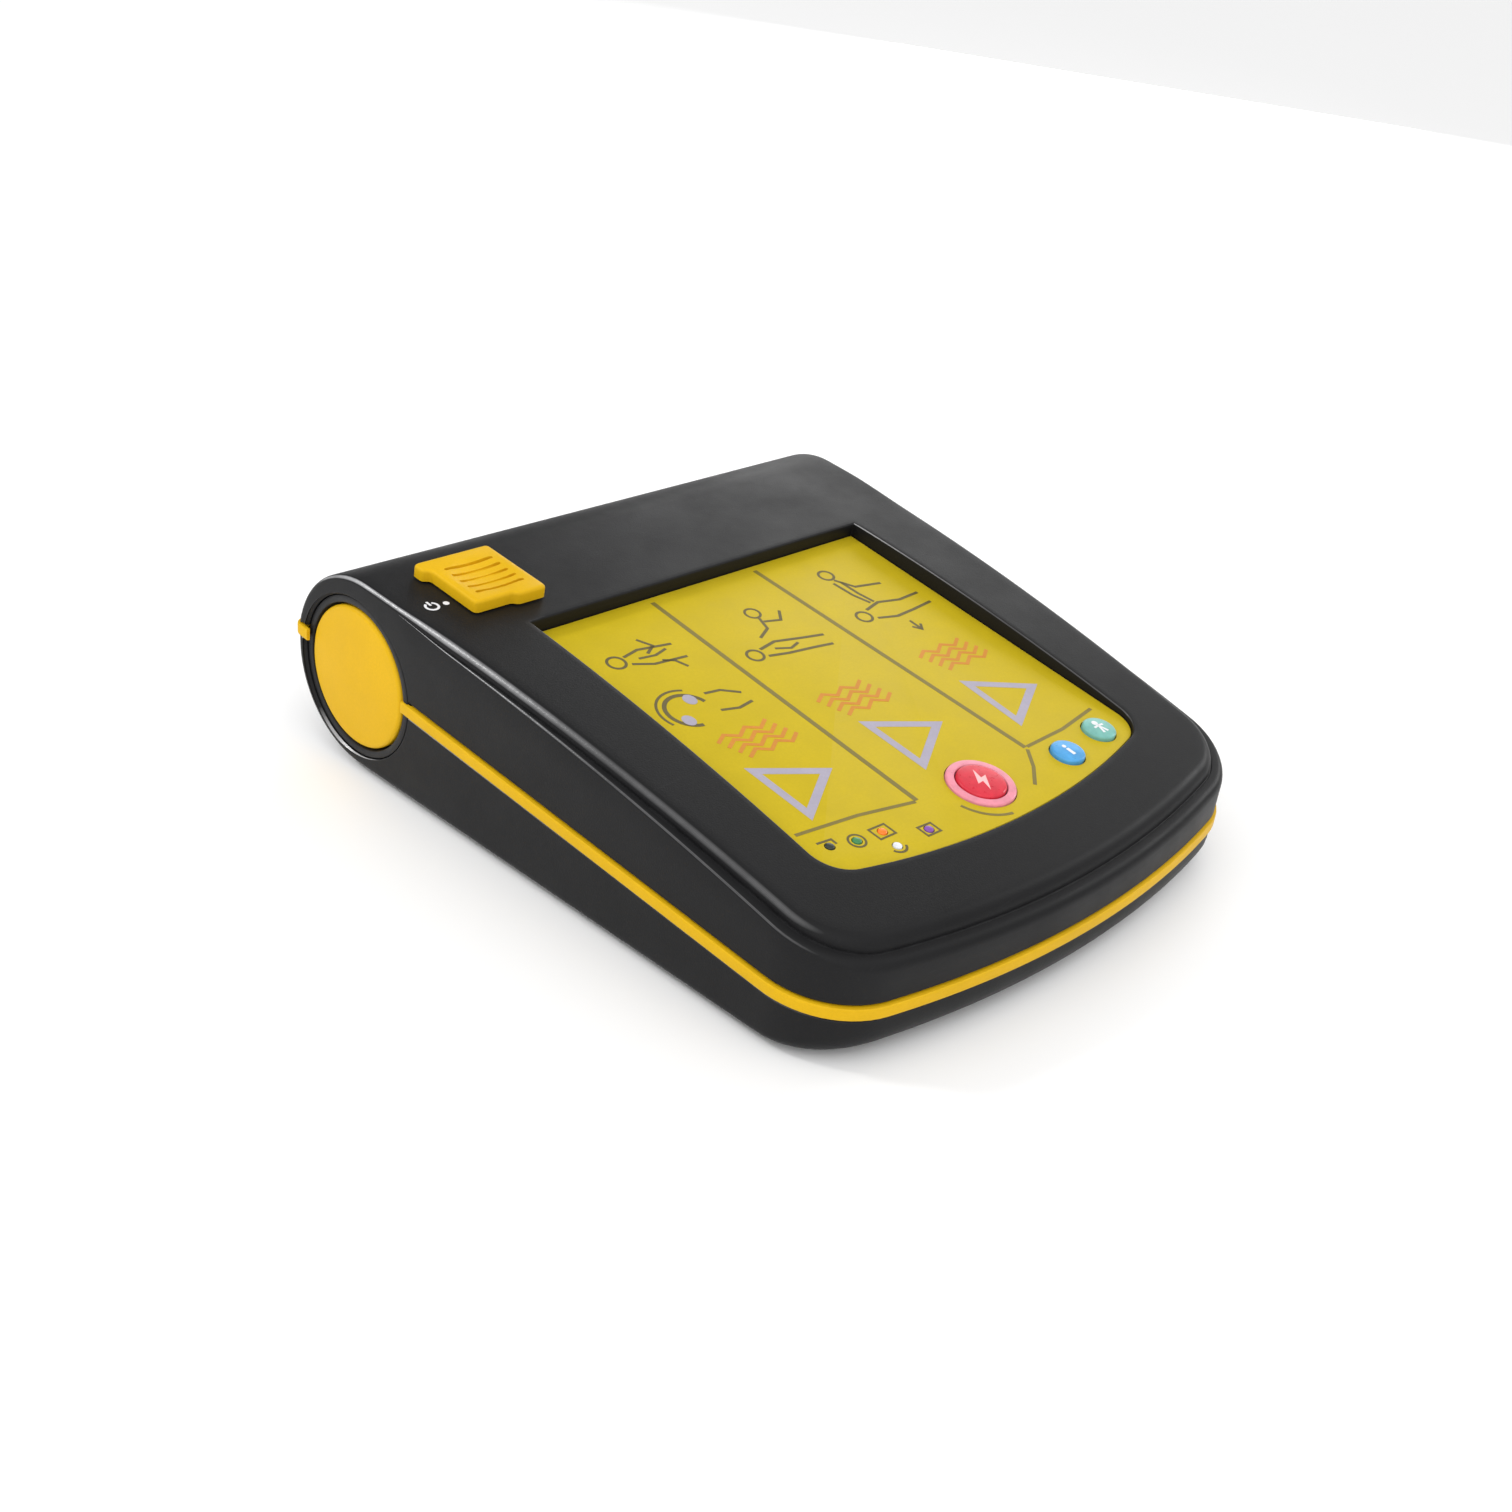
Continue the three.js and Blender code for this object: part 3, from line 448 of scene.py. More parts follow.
def lower_block(name, inset, detail):
    """The lower shell's outer form, or with an inset its hollow, as one closed block."""
    skin = Skin()
    high = -(BAND_HALF + SEAM) if detail else HOLLOW_OVERLAP
    radius = BARREL_R - inset
    floor = FLOOR_Z + inset
    phi1 = asin((part_z(BARREL_Y + radius) + high - BARREL_Z) / radius)
    back = barrel_arc(radius, phi1, -pi / 2, 20)
    # where each station meets the parting line on the end face: always further forward than the last
    tops = []
    for y, _, ny, _ in back:
        reach = y - ny * (SIDE_KEEL if detail else 0.6)
        tops.append(min(reach, tops[-1] - 0.02) if tops else reach)
    side_ys = [BARREL_Y + (CORNER_Y - BARREL_Y) * (i / 26) for i in range(1, 26)]

    def rows(edge):
        edge = edge if detail else max(edge - inset, 0.6)
        return [(edge * (1 - sin(a)), edge * (1 - cos(a))) for a in np.linspace(pi / 2, 0, 8)]

    def column(side, y, z, ny, nz, top_y=None):
        width = half_width(y) - inset
        section = rows(SIDE_KEEL)
        y0 = y if top_y is None else top_y
        top = part_z(y0) + high
        last = min(z - nz * section[0][1], top)
        pts = shell_wall(side * width, y0, -side, 0, top, last, detail, y - ny * section[0][1])
        for d, p in section:
            yy = y - ny * p
            pts.append((side * (width - d), yy, min(z - nz * p, part_z(yy) + high)))
        pts.append((side * (width - SIDE_RUN), y, min(z, part_z(y) + high)))
        return pts

    def front_column(index):
        (px, py), (nx, ny) = CASE_FRONT[index]
        x, y = px + nx * inset, py + ny * inset
        section = rows(SIDE_KEEL + (KEEL - SIDE_KEEL) * front_share(index))
        pts = shell_wall(x, y, nx, ny, part_z(y) + high, floor + section[0][1], detail)
        for d, p in section:
            pts.append((x + nx * d, y + ny * d, floor + p))
        pts.append((x + nx * FRONT_RUN, y + ny * FRONT_RUN, floor))
        return pts

    def side_strip(side):
        strip = [column(side, *station, top_y) for station, top_y in zip(back, tops)]
        return strip + [column(side, y, floor, 0.0, -1.0) for y in side_ys]

    skin.grid(side_strip(-1) + [front_column(i) for i in range(STEPS_FRONT)] + side_strip(1)[::-1])
    skin.grid([[((half_width(y) - inset - SIDE_RUN) * x, y, min(z, part_z(y) + high)) for x in ACROSS]
               for y, z, _, _ in back])
    return skin.close(name)


def side_cutters():
    """The battery bay with its flared mouth, and the socket's seat with its flare."""
    outside, flare_x, mouth_x, back_x = -150, -118.6, -117.8, 17
    flare_r, bay_r = BAY_OUTER + 1, BAY_OUTER + SEAM
    bay = [(0, outside), (flare_r, outside), (flare_r, flare_x), (bay_r, mouth_x), (bay_r, back_x), (0, back_x)]
    outside, flare_x, mouth_x, back_x = 150, 118.5, 117, 95
    flare_r, seat_r = SOCKET_R + 1.6, SOCKET_R + SEAM
    seat = [(0, back_x), (seat_r, back_x), (seat_r, mouth_x), (flare_r, flare_x), (flare_r, outside), (0, outside)]
    return [lathe("bay_cut", bay, "X", AXIS, 128), lathe("socket_cut", seat, "X", AXIS, 96)]


# ---- materials
class Paint:
    """Builds one procedural material, a node at a time."""

    def __init__(self, name):
        self.material = bpy.data.materials.new(name)
        self.material.use_nodes = True
        self.tree = self.material.node_tree
        self.shader = self.tree.nodes["Principled BSDF"]
        self.place = self.node("ShaderNodeTexCoord").outputs["Object"]

    def feed(self, node, key, value):
        if isinstance(value, bpy.types.NodeSocket):
            self.tree.links.new(value, node.inputs[key])
        else:
            node.inputs[key].default_value = value

    def put(self, key, value):
        self.feed(self.shader, key, value)

    def node(self, kind, inputs=None, **settings):
        node = self.tree.nodes.new(kind)
        for key, value in settings.items():
            setattr(node, key, value)
        for key, value in (inputs or {}).items():
            self.feed(node, key, value)
        return node

    def noise(self, scale, detail=3.0, roughness=0.55, stretch=None):
        place = self.place
        if stretch:
            place = self.node("ShaderNodeMapping", {"Vector": place, "Scale": stretch}).outputs[0]
        inputs = {"Vector": place, "Scale": scale, "Detail": detail, "Roughness": roughness}
        return self.node("ShaderNodeTexNoise", inputs).outputs[0]

    def span(self, value, low, high, to_low, to_high):
        return self.node("ShaderNodeMapRange", {0: value, 1: low, 2: high, 3: to_low, 4: to_high}).outputs[0]

    def roughness(self, pattern, low, high):
        self.put("Roughness", self.span(pattern, 0.3, 0.7, low, high))

    def mix(self, share, a, b):
        return self.node("ShaderNodeMix", {0: share, 6: a, 7: b}, data_type="RGBA").outputs[2]

    def times(self, a, b):
        return self.node("ShaderNodeMath", {0: a, 1: b}, operation="MULTIPLY").outputs[0]

    def edges(self, radius, low=0.985, high=0.93):
        """1 along convex and concave edges, 0 on plain faces."""
        rounded = self.node("ShaderNodeBevel", {"Radius": radius}, samples=4).outputs[0]
        plain = self.node("ShaderNodeNewGeometry").outputs["Normal"]
        dot = self.node("ShaderNodeVectorMath", {0: rounded, 1: plain}, operation="DOT_PRODUCT")
        return self.span(dot.outputs["Value"], low, high, 0.0, 1.0)

    def relief(self, height, depth):
        bump = self.node("ShaderNodeBump", {"Height": height, "Distance": depth, "Strength": 1.0})
        self.put("Normal", bump.outputs[0])


def tint(color, factor):
    return (*(min(c * factor, 1.0) for c in color), 1.0)


# pale colour painted along the side-to-top ridges as a highlight
RIDGE_HIGHLIGHT_COLOR = (0.44, 0.44, 0.45, 1)


def plastic(name, color, tone=0.1, mottle=22.0, rough=0.5, spread=0.07, grain=1500.0, depth=0.00004,
            wear=0.0, wear_color=None, polish=0.0, level=0.5):
    """Moulded plastic: soft tone changes, a fine grain, edges that handling has paled, and polished side-to-top
    ridges with a painted highlight.
    """
    p = Paint(name)
    cloud = p.span(p.noise(mottle, 4.0), 0.3, 0.7, 0.0, 1.0)
    shade = p.mix(cloud, tint(color, 1 - tone), tint(color, 1 + tone))
    fine = p.noise(grain, 2.0, 0.6)
    shade = p.mix(p.span(fine, 0.35, 0.65, 0.0, 0.35), shade, tint(color, 1 - 2.2 * tone))
    if wear:
        worn = p.times(p.edges(0.0011), p.span(p.noise(160.0, 5.0, 0.7), 0.38, 0.66, 0.15 * wear, wear))
        scratch = p.span(p.noise(70.0, 2.0, 0.4, stretch=(0.5, 14.0, 9.0)), 0.69, 0.74, 0.0, 0.12 * wear)
        worn = p.node("ShaderNodeMath", {0: worn, 1: scratch}, operation="MAXIMUM")
        shade = p.mix(worn.outputs[0], shade, wear_color or tint(color, 2.2))
    rubbed = p.noise(30.0, 5.0, 0.65)
    dull = p.span(rubbed, 0.3, 0.7, rough - spread, rough + spread)
    if polish:
        # ridges between a side and the top are rubbed smooth, and carry a painted highlight: a pale colour, strongest
        # towards the back and broken up by noise
        normal = p.node("ShaderNodeNewGeometry").outputs["Normal"]
        facing = p.node("ShaderNodeSeparateXYZ", {0: normal}).outputs
        sideways = p.node("ShaderNodeMath", {0: facing[0]}, operation="ABSOLUTE").outputs[0]
        ridge = p.span(p.times(sideways, facing[2]), 0.35, 0.48, 0.0, 1.0)
        dull = p.span(ridge, 0.0, 1.0, dull, polish)
        along = p.node("ShaderNodeSeparateXYZ", {0: p.place}).outputs[1]
        highlight_breakup = p.span(p.noise(90.0, 4.0, 0.7), 0.3, 0.6, 0.55, 1.0)
        highlight_share = p.times(p.span(along, -0.02, 0.11, 0.1, 1.0), highlight_breakup)
        shade = p.mix(p.times(ridge, highlight_share), shade, RIDGE_HIGHLIGHT_COLOR)
        level = p.span(ridge, 0.0, 1.0, level, 0.6)
    p.put("Base Color", shade)
    p.put("Roughness", dull)
    p.put("Specular IOR Level", level)
    p.relief(fine, depth)
    return p.material


def metal(name, color, rough=0.3, stretch=(30.0, 30.0, 900.0)):
    """Drawn or brushed metal with streaks along one direction and a slight tarnish."""
    p = Paint(name)
    streak = p.noise(1.0, 4.0, 0.6, stretch=stretch)
    cloud = p.noise(140.0, 4.0)
    shade = p.mix(p.span(cloud, 0.35, 0.7, 0.0, 1.0), tint(color, 0.78), tint(color, 1.08))
    p.put("Base Color", shade)
    p.put("Metallic", 1.0)
    p.roughness(streak, rough - 0.08, rough + 0.12)
    p.relief(streak, 0.00002)
    return p.material


def lens(name, color, glow=0.0):
    """A milky tinted lens with a soft core."""
    p = Paint(name)
    cloud = p.noise(260.0, 3.0)
    p.put("Base Color", p.mix(p.span(cloud, 0.3, 0.7, 0.0, 1.0), tint(color, 0.88), tint(color, 1.1)))
    p.roughness(p.noise(700.0), 0.26, 0.4)
    p.put("Specular IOR Level", 0.3)
    p.put("Subsurface Weight", 0.12)
    p.put("Subsurface Radius", (0.002, 0.002, 0.002))
    p.put("Coat Weight", 0.1)
    p.put("Emission Color", tint(color, 1.0))
    p.put("Emission Strength", glow)
    p.relief(cloud, 0.00002)
    return p.material


def circuit_board(name):
    """Green solder mask over copper traces, with the glass weave just showing."""
    p = Paint(name)
    inputs = {"Vector": p.place, "Scale": 210.0}
    cells = p.node("ShaderNodeTexVoronoi", inputs, distance="CHEBYCHEV", feature="DISTANCE_TO_EDGE")
    traces = p.span(cells.outputs[0], 0.05, 0.09, 1.0, 0.0)
    shade = p.mix(traces, (0.008, 0.085, 0.03, 1), (0.03, 0.2, 0.06, 1))
    weave = p.noise(1400.0, 2.0)
    p.put("Base Color", p.mix(p.span(weave, 0.35, 0.65, 0.0, 0.3), shade, (0.004, 0.05, 0.02, 1)))
    p.roughness(weave, 0.3, 0.42)
    p.relief(traces, 0.00004)
    return p.material


def winding(name):
    """Enamelled copper wire laid in close turns."""
    p = Paint(name)
    inputs = {"Vector": p.place, "Scale": 420.0, "Distortion": 0.6, "Detail": 1.0}
    turns = p.node("ShaderNodeTexWave", inputs, bands_direction="Z").outputs[1]
    p.put("Base Color", p.mix(turns, (0.20, 0.06, 0.02, 1), (0.62, 0.28, 0.12, 1)))
    p.put("Metallic", 0.7)
    p.roughness(p.noise(300.0), 0.28, 0.45)
    p.relief(turns, 0.00012)
    return p.material


def wrap_film(name):
    """Shrink film with faint rings where it drew tight."""
    p = Paint(name)
    inputs = {"Vector": p.place, "Scale": 160.0, "Distortion": 2.5, "Detail": 2.0}
    rings = p.node("ShaderNodeTexWave", inputs, bands_direction="X").outputs[1]
    p.put("Base Color", p.mix(rings, (0.035, 0.10, 0.30, 1), (0.06, 0.16, 0.44, 1)))
    p.roughness(p.noise(90.0), 0.22, 0.36)
    p.relief(rings, 0.00003)
    return p.material


SLOT_SKIN = {}


def slot_skin(make, slot, *args, **settings):
    SLOT_SKIN[slot] = make(slot, *args, **settings)


slot_skin(plastic, "case_plastic", (0.0085, 0.0085, 0.0092), 0.12, 26.0, 0.46, 0.06, 1700.0, 0.00005,
          wear=0.45, wear_color=(0.045, 0.045, 0.047, 1), polish=0.26, level=0.17)
slot_skin(plastic, "band_plastic", (0.69, 0.405, 0.006), 0.05, 40.0, 0.46, 0.06, 1300.0, 0.00002, wear=0.35,
          wear_color=(0.80, 0.52, 0.04, 1), level=0.12)
slot_skin(plastic, "panel_film", (0.53, 0.395, 0.009), 0.05, 60.0, 0.5, 0.05, 1100.0, 0.00002, wear=0.3,
          wear_color=(0.62, 0.50, 0.12, 1), level=0.15)
slot_skin(plastic, "inner_plastic", (0.008, 0.008, 0.009), 0.15, 40.0, 0.52, 0.08, 1500.0, 0.00003,
          level=0.35)
slot_skin(plastic, "foot_rubber", (0.011, 0.011, 0.011), 0.2, 60.0, 0.85, 0.06, 2200.0, 0.00008, level=0.3)
slot_skin(plastic, "component_body", (0.014, 0.014, 0.015), 0.15, 90.0, 0.55, 0.08, 2400.0, 0.00003)
slot_skin(lens, "button_red", (0.62, 0.022, 0.045), 0.02)
slot_skin(lens, "ring_lens", (0.74, 0.26, 0.33), 0.02)
slot_skin(lens, "button_blue", (0.07, 0.33, 0.66), 0.02)
slot_skin(lens, "button_teal", (0.17, 0.43, 0.38), 0.02)
slot_skin(metal, "steel", (0.56, 0.57, 0.59), 0.3, (900.0, 30.0, 30.0))
slot_skin(metal, "contact_metal", (0.78, 0.56, 0.24), 0.24)
slot_skin(circuit_board, "circuit_board")
slot_skin(winding, "winding")
slot_skin(wrap_film, "wrap_film")
slot_skin(lens, "lamp_lens", (0.80, 0.80, 0.78))


SHARP = radians(34)


def piece(obj, slot, node=None, body="housing", skin=None):
    """Smooths a new piece, paints it with the given skin or its slot's material, ties it to its body, and hides the
    node that it stands for.
    """
    mesh = obj.data
    mesh.polygons.foreach_set("use_smooth", [True] * len(mesh.polygons))
    mesh.set_sharp_from_angle(angle=SHARP)
    mesh.update()
    mesh.materials.clear()
    mesh.materials.append(skin or SLOT_SKIN[slot])
    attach(obj, body)
    if node:
        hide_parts(node)


# ---- cutters
def moved(obj, matrix):
    obj.data.transform(matrix)
    return obj


def rod(radius, low, high):
    return [(0, low), (radius, low), (radius, high), (0, high)]


def on_plane(name, profile, at, segments=96):
    return moved(lathe(name, profile, "Z", (*at, 0), segments), PANEL_MATRIX)


def control_rods(shock_radius, low, high):
    """Cutters for the three keys and the lamps, square to the panel."""
    keys = ((shock_radius, SHOCK_AT), (SMALL_R + KEY_GAP, INFO_AT), (SMALL_R + KEY_GAP, CHILD_AT))
    rods = [on_plane("rod", rod(radius, low, high), at, 64) for radius, at in keys]
    return rods + [on_plane("rod", rod(LAMP_R + SEAM, low, high), at, 24) for at in LAMP_AT]


def rounded_rect(width, length, corner, cx=0.0, cy=0.0, steps=6):
    points = []
    for sx, sy, start in ((1, 1, 0), (-1, 1, 90), (-1, -1, 180), (1, -1, 270)):
        x, y = cx + sx * (width / 2 - corner), cy + sy * (length / 2 - corner)
        turn = [radians(start + 90 * i / steps) for i in range(steps + 1)]
        points += [(x + corner * cos(a), y + corner * sin(a)) for a in turn]
    return points


def on_crown(x, y):
    """A place on the top surface, tilted as the surface is there."""
    tilt = atan(CROWN[2] + (CROWN[0] - y) / CROWN[3])
    return Matrix.Translation(Vector((x, y, top_z(y))) * MM) @ Matrix.Rotation(tilt, 4, "X")


SLIDE_MATRIX = on_crown(SLIDE_X, SLIDE_Y)

# ---- the two shells
upper = upper_block("upper_case", 0.0, True)
hollow = upper_block("upper_hollow", WALL, False)
cut(hollow, [prism("bed", rounded_rect(33, 37, 2, 0, 1), -4.7, 2.3, 0, SLIDE_MATRIX)])
cut(upper, [hollow])
cut(upper, side_cutters())
cut(upper, control_rods(SHOCK_R + KEY_GAP, -8, 2))
# a shallow pocket for the slide's foot, and a slot for its stem
cut(upper, [prism("pocket", rounded_rect(27, 31, 2.5, 0, 1), -2, 8, 0, SLIDE_MATRIX)])
cut(upper, [prism("slot", rounded_rect(8, 11, 2, 0, STEM_Y - 3), -12, 2, 0, SLIDE_MATRIX)])

lower = lower_block("lower_case", 0.0, True)
cut(lower, [lower_block("lower_hollow", WALL, False)])
cut(lower, side_cutters())
cut(lower, [lathe("foot_cut", rod(FOOT_R + SEAM, -1, 3.5), "Z", (*at, 0), 48) for at in FOOT_AT])
# a counterbore for the head, then a clearance hole for the shank
SCREW_HOLE = [(0, -1), (3.9, -1), (3.9, 2.7), (3.5, 3.1), (3.5, 6.5), (1.9, 6.5), (1.9, 60), (0, 60)]
cut(lower, [lathe("screw_cut", SCREW_HOLE, "Z", (*at, 0), 32) for at in SCREW_AT])
slots = []
for y in range(-12, 13, 4):
    reach = 2 * sqrt((SPEAKER_R - 5) ** 2 - y ** 2)
    slots.append(prism("sound_slot", rounded_rect(reach, 1.8, 0.85, 0, SPEAKER_Y + y), -2, 10))
cut(lower, slots)
piece(upper, "case_plastic", "upper_shell")
piece(lower, "case_plastic", "lower_shell")

# ---- parting band
BAND_DEPTH, BAND_THIN = 2.4, 0.35
BAND_FACE = [(0.5, -BAND_HALF), (0.8, -BAND_HALF + 0.08), (0.97, -BAND_HALF + 0.4), (1.0, -1.1), (1.0, 1.1),
             (0.97, BAND_HALF - 0.4), (0.8, BAND_HALF - 0.08), (0.5, BAND_HALF)]


def sweep_band(name, path):
    """Sweeps the band's rounded section along (x, y, outward normal, depth) stations."""
    bm = bmesh.new()
    loops = []
    for x, y, nx, ny, depth in path:
        section = [(-depth, -BAND_HALF)] + BAND_FACE + [(-depth, BAND_HALF)]
        points = [Vector((x + nx * d, y + ny * d, part_z(y + ny * d) + h)) for d, h in section]
        loops.append([bm.verts.new(point * MM) for point in points])
    for a, b in zip(loops[:-1], loops[1:]):
        for i in range(len(a)):
            j = (i + 1) % len(a)
            bm.faces.new((a[i], a[j], b[j], b[i]))
    bm.faces.new(loops[0])
    bm.faces.new(loops[-1])
    bmesh.ops.recalc_face_normals(bm, faces=bm.faces)
    return from_bmesh(name, bm)


def side_run(side, y_from, y_to, opening, count):
    """Stations down one side wall; the band thins where it crosses a barrel-end opening's rim."""
    run = []
    for i in range(count):
        y = y_from + (y_to - y_from) * i / (count - 1)
        clear = hypot(y - BAY_Y, part_z(y) - BAY_Z) > opening
        run.append((side * half_width(y), y, side, 0.0, BAND_DEPTH if clear else BAND_THIN))
    return run


BAY_EDGE = CAP_R + 0.7
BAY_CLEAR = BAY_OUTER + 1.2
SOCKET_EDGE = SOCKET_R + 2 * SEAM
front_run = side_run(-1, BAY_Y - BAY_EDGE, BAY_Y - 33, BAY_CLEAR, 10)
front_run += side_run(-1, BAY_Y - 34, CORNER_Y + 3, 0, 30)
front_run += [(p[0], p[1], -n[0], -n[1], BAND_DEPTH) for p, n in CASE_FRONT]
front_run += side_run(1, CORNER_Y + 3, BAY_Y - SOCKET_EDGE, 0, 40)
BACK_CORNER = 2.6
back_face = BARREL_Y + sqrt(BARREL_R ** 2 - (part_z(BARREL_Y + BARREL_R) - BARREL_Z) ** 2)
rear_run = side_run(-1, BAY_Y + BAY_EDGE, back_face - BACK_CORNER, BAY_CLEAR, 8)
rear_corner = []
for i in range(1, 7):
    a = pi / 2 * i / 6
    rear_corner.append((half_width(back_face - BACK_CORNER) - BACK_CORNER * (1 - cos(a)),
                        back_face - BACK_CORNER * (1 - sin(a)), cos(a), sin(a), BAND_DEPTH))
rear_run += [(-x, y, -nx, ny, d) for x, y, nx, ny, d in rear_corner]
rear_run += [(x, back_face, 0.0, 1.0, BAND_DEPTH) for x in np.linspace(-110, 110, 12)]
rear_run += rear_corner[::-1]
rear_run += side_run(1, back_face - BACK_CORNER, BAY_Y + SOCKET_EDGE, 0, 6)
piece(sweep_band("band_front", front_run), "band_plastic", "parting_band_front")
piece(sweep_band("band_rear", rear_run), "band_plastic", "parting_band_rear")

# ---- graphic panel and its print
sheet_outline = well_path(0.0) + [(PANEL_HALF, PANEL_BACK), (-PANEL_HALF, PANEL_BACK)]
sheet = prism("panel_sheet", sheet_outline, -PANEL_THICK, 0.0, 0.35, PANEL_MATRIX)
cut(sheet, control_rods(RING_R[1] + SEAM, -4, 4))
piece(sheet, "panel_film", "graphic_panel")


class Print:
    """Ink laid on a surface: thin strokes, discs and patches in one plane, in millimetres."""

    def __init__(self, low=-0.05, high=0.06):
        self.bm = bmesh.new()
        self.low, self.high = low, high

    def pair(self, x, y):
        return [self.bm.verts.new((x * MM, y * MM, z * MM)) for z in (self.low, self.high)]

    def patch(self, outline):
        pairs = [self.pair(x, y) for x, y in outline]
        self.bm.faces.new([p[1] for p in pairs])
        self.bm.faces.new([p[0] for p in reversed(pairs)])
        for a, b in zip(pairs, pairs[1:] + pairs[:1]):
            self.bm.faces.new((a[0], b[0], b[1], a[1]))

    def disc(self, x, y, radius, steps=28, stretch=1.0):
        turn = [2 * pi * i / steps for i in range(steps)]
        self.patch([(x + radius * cos(a), y + radius * stretch * sin(a)) for a in turn])

    def stroke(self, points, width, closed=False):
        points = [Vector(p) for p in points]
        sides = []
        count = len(points)
        for i, point in enumerate(points):
            before = points[i - 1] if closed or i else None
            after = points[(i + 1) % count] if closed or i < count - 1 else None
            a = (point - before).normalized() if before is not None else (after - point).normalized()
            b = (after - point).normalized() if after is not None else a
            along = (a + b).normalized()
            across = Vector((-along.y, along.x))
            reach = width / 2 / max(across.dot(Vector((-a.y, a.x))), 0.4)
            sides.append((self.pair(*(point + across * reach)), self.pair(*(point - across * reach))))
        pairs = list(zip(sides, sides[1:] + sides[:1] if closed else sides[1:]))
        for (l0, r0), (l1, r1) in pairs:
            for face in ((l0[1], l1[1], r1[1], r0[1]), (l0[0], r0[0], r1[0], l1[0]),
                         (l0[0], l1[0], l1[1], l0[1]), (r0[0], r0[1], r1[1], r1[0])):
                self.bm.faces.new(face)
        if not closed:
            for left, right in (sides[0], sides[-1]):
                self.bm.faces.new((left[0], left[1], right[1], right[0]))

    def arc(self, x, y, radius, start, end, width, steps=24, stretch=1.0):
        turn = [radians(start + (end - start) * i / steps) for i in range(steps + 1)]
        closed = abs(end - start) >= 360
        points = [(x + radius * cos(a), y + radius * stretch * sin(a)) for a in turn]
        self.stroke(points[:-1] if closed else points, width, closed)

    def done(self, name, skin, matrix=PANEL_MATRIX, slot="panel_film", body="housing"):
        bmesh.ops.recalc_face_normals(self.bm, faces=self.bm.faces)
        self.bm.transform(matrix)
        piece(from_bmesh(name, self.bm), slot, None, body, skin)


def ink(name, color):
    return plastic(name, color, 0.06, 90.0, 0.5, 0.05, 900.0, 0.00001, level=0.4)


olive_ink = ink("ink_olive", (0.19, 0.145, 0.018))
dark_ink = ink("ink_dark", (0.11, 0.085, 0.018))
lilac_ink = ink("ink_lilac", (0.37, 0.34, 0.42))
orange_ink = ink("ink_orange", (0.56, 0.215, 0.008))
white_ink = ink("ink_white", (0.78, 0.78, 0.80))

lines = Print()
lines.stroke([(-28, 49), (-28, -82)], 2.0)
lines.stroke([(24.5, 49), (31.5, -81)], 2.0)
lines.stroke([(-78, -74.5), (-52, -77.5), (-28.9, -82.3)], 1.4)
lines.stroke([(32.5, -81), (54, -80.5), (75, -77.5)], 1.4)
lines.stroke([(31.3, -82.2), (25, -90), (17, -97)], 1.4)
lines.arc(SHOCK_AT[0], SHOCK_AT[1], 16.5, 196, 262, 1.2)
lines.done("print_dividers", olive_ink)

TRIANGLES = (((-66.5, -43.5), (-44, -55.5), (-66, -69.2)), ((-11, -43.4), (12.6, -55.7), (-10.5, -69.4)),
             ((43.3, -43.7), (65.6, -56.9), (42.5, -69.2)))
marks = Print()
for corners in TRIANGLES:
    marks.stroke(corners, 3.1, True)
marks.done("print_triangles", lilac_ink)

bursts = Print()
for cx, cy in ((-50, -31), (-1, -30), (56, -28)):
    for row in (-1.5, -0.5, 0.5, 1.5):
        start = cx - 14 + row * 1.5
        trace = [(start, cy - 3.6 * row - 1.2)]
        for i in range(1, 6):
            trace.append((start + 4.9 * i, cy - 3.6 * row + (1.5 if i % 2 else -1.5)))
        bursts.stroke(trace, 1.45)
bursts.done("print_traces", orange_ink)

figures = Print()
stroke, arc = figures.stroke, figures.arc
# first column: a chest being bared, then a chest with two pads
arc(-66, 25, 3.4, 0, 360, 1.1)
stroke([(-61.5, 26.5), (-54, 28), (-40, 25.5)], 1.2)
stroke([(-61.5, 22), (-54, 18.5), (-40, 17)], 1.2)
stroke([(-57, 23.5), (-50, 22.5), (-44, 24)], 1.1)
stroke([(-50, 33), (-47, 27.5), (-52, 24.5)], 1.2)
stroke([(-44, 12), (-46, 17), (-50, 19)], 1.2)
arc(-62, -8, 8.6, 10, 262, 1.6)
arc(-62, -8, 11.4, 60, 200, 1.0)
stroke([(-50.5, -3), (-44, -4), (-38, -8.5)], 1.2)
stroke([(-52, -13), (-45, -15), (-38, -14)], 1.2)
# second column: a person lying down whom nobody touches
arc(-17, 6, 3.2, 0, 360, 1.1)
stroke([(-12.6, 8), (-4, 9.5), (8, 6.5), (17, 4.5)], 1.3)
stroke([(-12.6, 3.5), (-4, 1.5), (7, 0), (16, -1.5)], 1.3)
stroke([(-7, 6), (-1, 3.5), (4, 5)], 1.1)
arc(2, 27, 3.0, 0, 360, 1.0)
stroke([(2, 23.4), (0, 17), (-7, 13.5)], 1.2)
stroke([(2, 21), (9, 19), (13, 24)], 1.2)
# third column: hands pressing on the chest
arc(49, 34, 3.1, 0, 360, 1.1)
stroke([(49.5, 30.2), (54, 23), (66, 20.5)], 1.3)
stroke([(51, 28), (51.5, 19), (53, 12)], 1.3)
stroke([(47.5, 28.5), (48.5, 19), (51, 12)], 1.3)
arc(41, 6, 3.2, 0, 360, 1.1)
stroke([(45.5, 9), (54, 11), (64, 8.5), (75, 9)], 1.3)
stroke([(45.5, 3), (54, 0.5), (64, 1), (75, 2)], 1.3)
stroke([(56, -4), (56, -10)], 1.2)
stroke([(53.6, -7.4), (56, -10.4), (58.4, -7.4)], 1.1)
